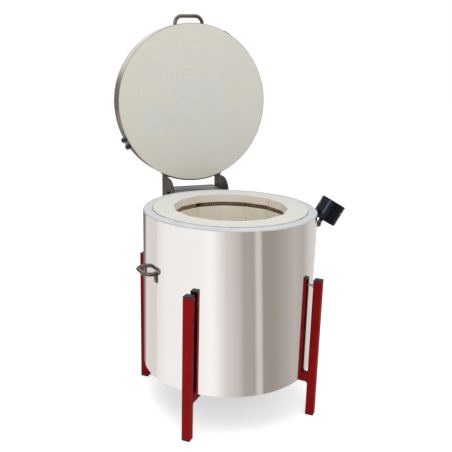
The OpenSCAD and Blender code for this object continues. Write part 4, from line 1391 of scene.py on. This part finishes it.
@dataclass
class Lid(Sheetwork):
    """The lid: brick slab and board in a steel band with clamp, lap strip, handle and hinge plates."""

    rivet_turn: float = 0.026
    rivet_inset: float = 0.014
    joint: float = 0.0006
    smear_half: float = 0.0008
    smear_proud: float = 0.0001
    smear_deep: float = 0.0004
    courses: range = range(-3, 4)

    def cement(self) -> None:
        """Smears cement over the joints of the slab's face, along the rows and across them in running bond.

        On the closed lid a row j starts at the shift plus j widths, and its bricks start at the shift
        plus i lengths, or half a length more in odd rows. Each strip ends on the slab's circle.
        """
        points = SWING.closed(node_points("lid_bricks"))
        radius = reach(points) - self.joint
        level = heights(points)[0] - self.smear_proud + self.smear_deep / 2
        up = np.array([0.0, 0.0, self.smear_deep / 2])
        length, width = BRICK_SIZE
        grids = []

        def lay(start: Span, end: Span, across: Span) -> None:
            """Adds one strip between two places on the closed lid, swung open."""
            side = self.smear_half * np.array([*across, 0.0])
            grids.append(SWING.opened(strip(np.array([*start, level]), np.array([*end, level]), side, up)))

        for row in self.courses:
            low = LID_SHIFT[1] + row * width
            high = low + width - self.joint / 2
            if abs(high) < radius:
                half = math.sqrt(radius ** 2 - high ** 2)
                lay((-half, high), (half, high), (0.0, 1.0))
            for column in self.courses:
                x = LID_SHIFT[0] + (column + (row % 2) / 2) * length - self.joint / 2
                half = math.sqrt(max(radius ** 2 - x ** 2, 0.0))
                start, end = max(low, -half), min(high - self.joint, half)
                if end > start:
                    lay((x, start), (x, end), (1.0, 0.0))
        made("lid_cement", Body.LID, CEMENT, grids)

    def band(self) -> None:
        """Builds the band on the closed lid as one smooth ring of sheet, then opens it."""
        points = SWING.closed(node_points("lid_band"))
        grid = SWING.opened(self.ring(reach(points), *heights(points)))
        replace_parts(made("lid_band_ring", Body.LID, BAND, [grid]), "lid_band")

    def lap_rivets(self) -> None:
        """Builds four domed rivets on the lap strip of the closed lid, then opens them."""
        points = SWING.closed(node_points("lid_band_lap_strip"))
        middle = math.atan2(points[:, 0].mean(), -points[:, 1].mean())
        low, high = heights(points)
        grids = [SWING.opened(self.rivet(reach(points), outward(t), level))
                 for t in (middle - self.rivet_turn, middle + self.rivet_turn)
                 for level in (low + self.rivet_inset, high - self.rivet_inset)]
        made("lap_rivets", Body.LID, DARK_IRON, grids)

    def build(self) -> None:
        """Builds the band, the rivets and the screws, and dresses the rest."""
        self.band()
        self.cement()
        self.lap_rivets()
        dress(LID_BRICK, Edge.NONE, "lid_bricks")
        dress(BOARD, Edge.SOFT, "lid_backing_board")
        dress(DARK_IRON, Edge.PLAIN, "lid_band_clamp")
        dress(ZINC, Edge.SMALL, "lid_band_clamp_bolt")
        dress(DARK_IRON, Edge.SMALL, "lid_band_lap_strip")
        dress(PLATE, Edge.PLAIN, "lid_hinge_plates")
        dress(BAR, Edge.SMALL, "lid_handle")
        dress(ZINC, Edge.FINE, "lid_handle_screws")
        Screws("lid_hinge_screws", Body.LID).build()


@dataclass(frozen=True)
class Card:
    """A soft card of the studio that polished steel mirrors: its azimuth in degrees, level and warmth."""

    azimuth: float
    level: float
    warmth: float = 1.0

    def colour(self) -> Colour:
        """Gives the card's colour, which is warmer on darker cards."""
        warm = self.warmth * max(WARM_LEVEL - self.level, 0.0)
        return (self.level, self.level * (1 - WARM_GREEN * warm), self.level * (1 - WARM_BLUE * warm), 1.0)


@dataclass(frozen=True)
class Lamp:
    """A square soft lamp: its place, side in metres, power in watts and the CAD nodes that it picks."""

    name: str
    place: Vec3
    size: float
    energy: float
    only: tuple[str, ...] = ()
    aim: float = 0.7

    def hang(self) -> None:
        """Hangs the lamp facing the middle of the kiln. Only nodes that it picks mirror it."""
        data = bpy.data.lights.new(self.name, "AREA")
        data.size = self.size
        data.energy = self.energy
        obj = placed(self.name, data)
        obj.location = self.place
        aim = Vector((0.0, 0.0, self.aim)) - obj.location
        obj.rotation_euler = aim.to_track_quat("-Z", "Y").to_euler()
        obj.visible_camera = False
        obj.visible_glossy = bool(self.only)
        if self.only:
            lit = bpy.data.collections.new(self.name)
            obj.light_linking.receiver_collection = lit
            for node in self.only:
                lit.objects.link(frame["nodes"][node])


@dataclass
class Studio:
    """White studio: pale floor, even light, soft lamps, cards that metal mirrors, and the camera."""

    plain_level: float = 0.68
    floor_half: float = 14.0
    floor_white: float = 0.94
    floor_lift: float = 0.5
    floor_roughness: float = 0.9
    lens: float = 50.76
    sensor: float = 36.0
    distance: float = 2.2193
    height: float = 1.2662
    azimuth: float = -23.2
    yaw: float = 0.362
    pitch: float = -15.036
    roll: float = 1.515
    room: Colour = (0.25, 0.22, 0.19, 1.0)
    room_span: Span = (-0.2, -0.1)
    ceiling: Colour = (0.95, 0.95, 0.95, 1.0)
    ceiling_span: Span = (0.04, 0.22)
    lean: Vec3 = (0.74, 0.43, 0.365)
    cards: tuple[Card, ...] = (
        Card(-180, 0.20), Card(-173, 0.30), Card(-167, 0.74), Card(-134, 0.73), Card(-130, 0.84),
        Card(-112, 0.93), Card(-60, 0.95), Card(-46, 1.00), Card(-40, 0.95), Card(-24, 0.68),
        Card(-12, 0.59), Card(-7, 0.53), Card(-3, 0.43), Card(11, 0.40), Card(15, 0.63),
        Card(20, 0.63), Card(24, 0.35, 1.3), Card(38, 0.35, 1.3), Card(60, 0.43), Card(76, 0.51),
        Card(94, 0.46), Card(112, 0.64), Card(145, 0.75), Card(157, 0.30), Card(180, 0.20),
    )
    lamps: tuple[Lamp, ...] = (
        Lamp("overhead", (-0.8, -0.8, 3.4), 2.4, 34.0),
        Lamp("front", (-0.4, -3.4, 2.4), 1.6, 20.0),
        Lamp("window", (-1.463, -0.884, 1.629), 0.5, 6.0,
             ("thermocouple_head", "thermocouple_cap", "lid_handle", "side_handle_left",
              "side_handle_right")),
    )

    def floor(self) -> None:
        """Builds the pale floor, which stays white to the camera and out of mirrors."""
        x = np.linspace(-self.floor_half, self.floor_half, 3)
        grid = np.stack(np.meshgrid(x, x, [0.0], indexing="ij"), axis=-1)[:, :, 0]
        mesh = bpy.data.meshes.new("floor")
        mesh.from_pydata(grid.reshape(-1, 3), [], grid_faces(3, 3)[:, ::-1].tolist())
        material = bpy.data.materials.new("pale_floor")
        w = blank(material)
        seen = w.add("ShaderNodeLightPath").outputs["Is Camera Ray"]
        w.surface(
            Base_Color=(self.floor_white, self.floor_white, self.floor_white, 1.0),
            Roughness=self.floor_roughness,
            Specular_IOR_Level=0.0,
            Emission_Color=WHITE,
            Emission_Strength=w.times(seen, self.floor_lift),
        )
        mesh.materials.append(material)
        obj = placed("floor", mesh)
        obj.visible_glossy = False

    def world(self) -> None:
        """Builds the surroundings: white to the camera, cards to mirrors, and plain light to the rest.

        The cards stand by azimuth, sheared by height as the lean says: its first two values are the
        shear at the front and what each radian adds, and the third is the level where it starts.
        """
        world = bpy.data.worlds.new("studio")
        bpy.context.scene.world = world
        w = blank(world)
        x, y, rise = w.split(w.add("ShaderNodeTexCoord").outputs["Generated"])
        angle = w.azimuth(x, y)
        base, gain, start = self.lean
        slope = w.plus(w.times(angle, gain), base)
        upright = w.plus(angle, w.times(slope, w.plus(rise, start)))
        inputs = {"Value": upright, "From Min": -math.pi, "From Max": math.pi}
        ramp = w.add("ShaderNodeValToRGB", {0: w.add("ShaderNodeMapRange", inputs).outputs[0]})
        stops = ramp.color_ramp.elements
        for card in self.cards[1:-1]:
            stops.new((card.azimuth + 2 * QUARTER) / (4 * QUARTER))
        for stop, card in zip(stops, self.cards):
            stop.color = card.colour()
        above = w.mix(w.step(rise, *self.ceiling_span), self.room, self.ceiling)
        around = w.mix(w.step(rise, *self.room_span), ramp.outputs[0], above)
        path = w.add("ShaderNodeLightPath")
        glossy = path.outputs["Is Glossy Ray"]
        level = w.times(w.minus(1.0, glossy), self.plain_level)
        direct = w.minus(1.0, w.math("MINIMUM", path.outputs["Diffuse Depth"], 1.0))
        plain = w.add("ShaderNodeBackground", {"Color": WHITE, "Strength": level}).outputs[0]
        mirrored = w.add("ShaderNodeBackground", {"Color": around}).outputs[0]
        white = w.add("ShaderNodeBackground", {"Color": WHITE}).outputs[0]
        lit = w.add("ShaderNodeMixShader", {0: w.times(glossy, direct), 1: plain, 2: mirrored}).outputs[0]
        seen = w.add("ShaderNodeMixShader", {0: path.outputs["Is Camera Ray"], 1: lit, 2: white}).outputs[0]
        w.add("ShaderNodeOutputWorld", {"Surface": seen})

    def camera(self) -> None:
        """Places the camera at the photographed angle, with its small yaw and roll."""
        data = bpy.data.cameras.new("camera")
        data.lens = self.lens
        data.sensor_width = self.sensor
        obj = placed("camera", data)
        spot = self.distance * outward(math.radians(self.azimuth)) + (0.0, 0.0, self.height)
        heading = Matrix.Rotation(math.radians(self.azimuth + self.yaw), 4, "Z")
        tilt = Matrix.Rotation(math.radians(QUARTER + self.pitch), 4, "X")
        roll = Matrix.Rotation(math.radians(self.roll), 4, "Z")
        obj.matrix_world = Matrix.Translation(spot) @ heading @ tilt @ roll
        bpy.context.scene.camera = obj

    def build(self) -> None:
        """Builds the camera, the floor, the surroundings and the lamps."""
        bpy.context.scene.view_settings.view_transform = "Standard"
        self.camera()
        self.floor()
        self.world()
        for lamp in self.lamps:
            lamp.hang()


def main() -> None:
    """Builds the studio and every sub-assembly in order."""
    logging.basicConfig(level=logging.INFO, format="%(message)s")
    for part in (Studio(), Stand(), Shell(), Elements(), TerminalBox(), Hinge(), Thermocouple(), Lid()):
        part.build()
        LOG.info("built %s", type(part).__name__)


if __name__ == "__main__":
    main()
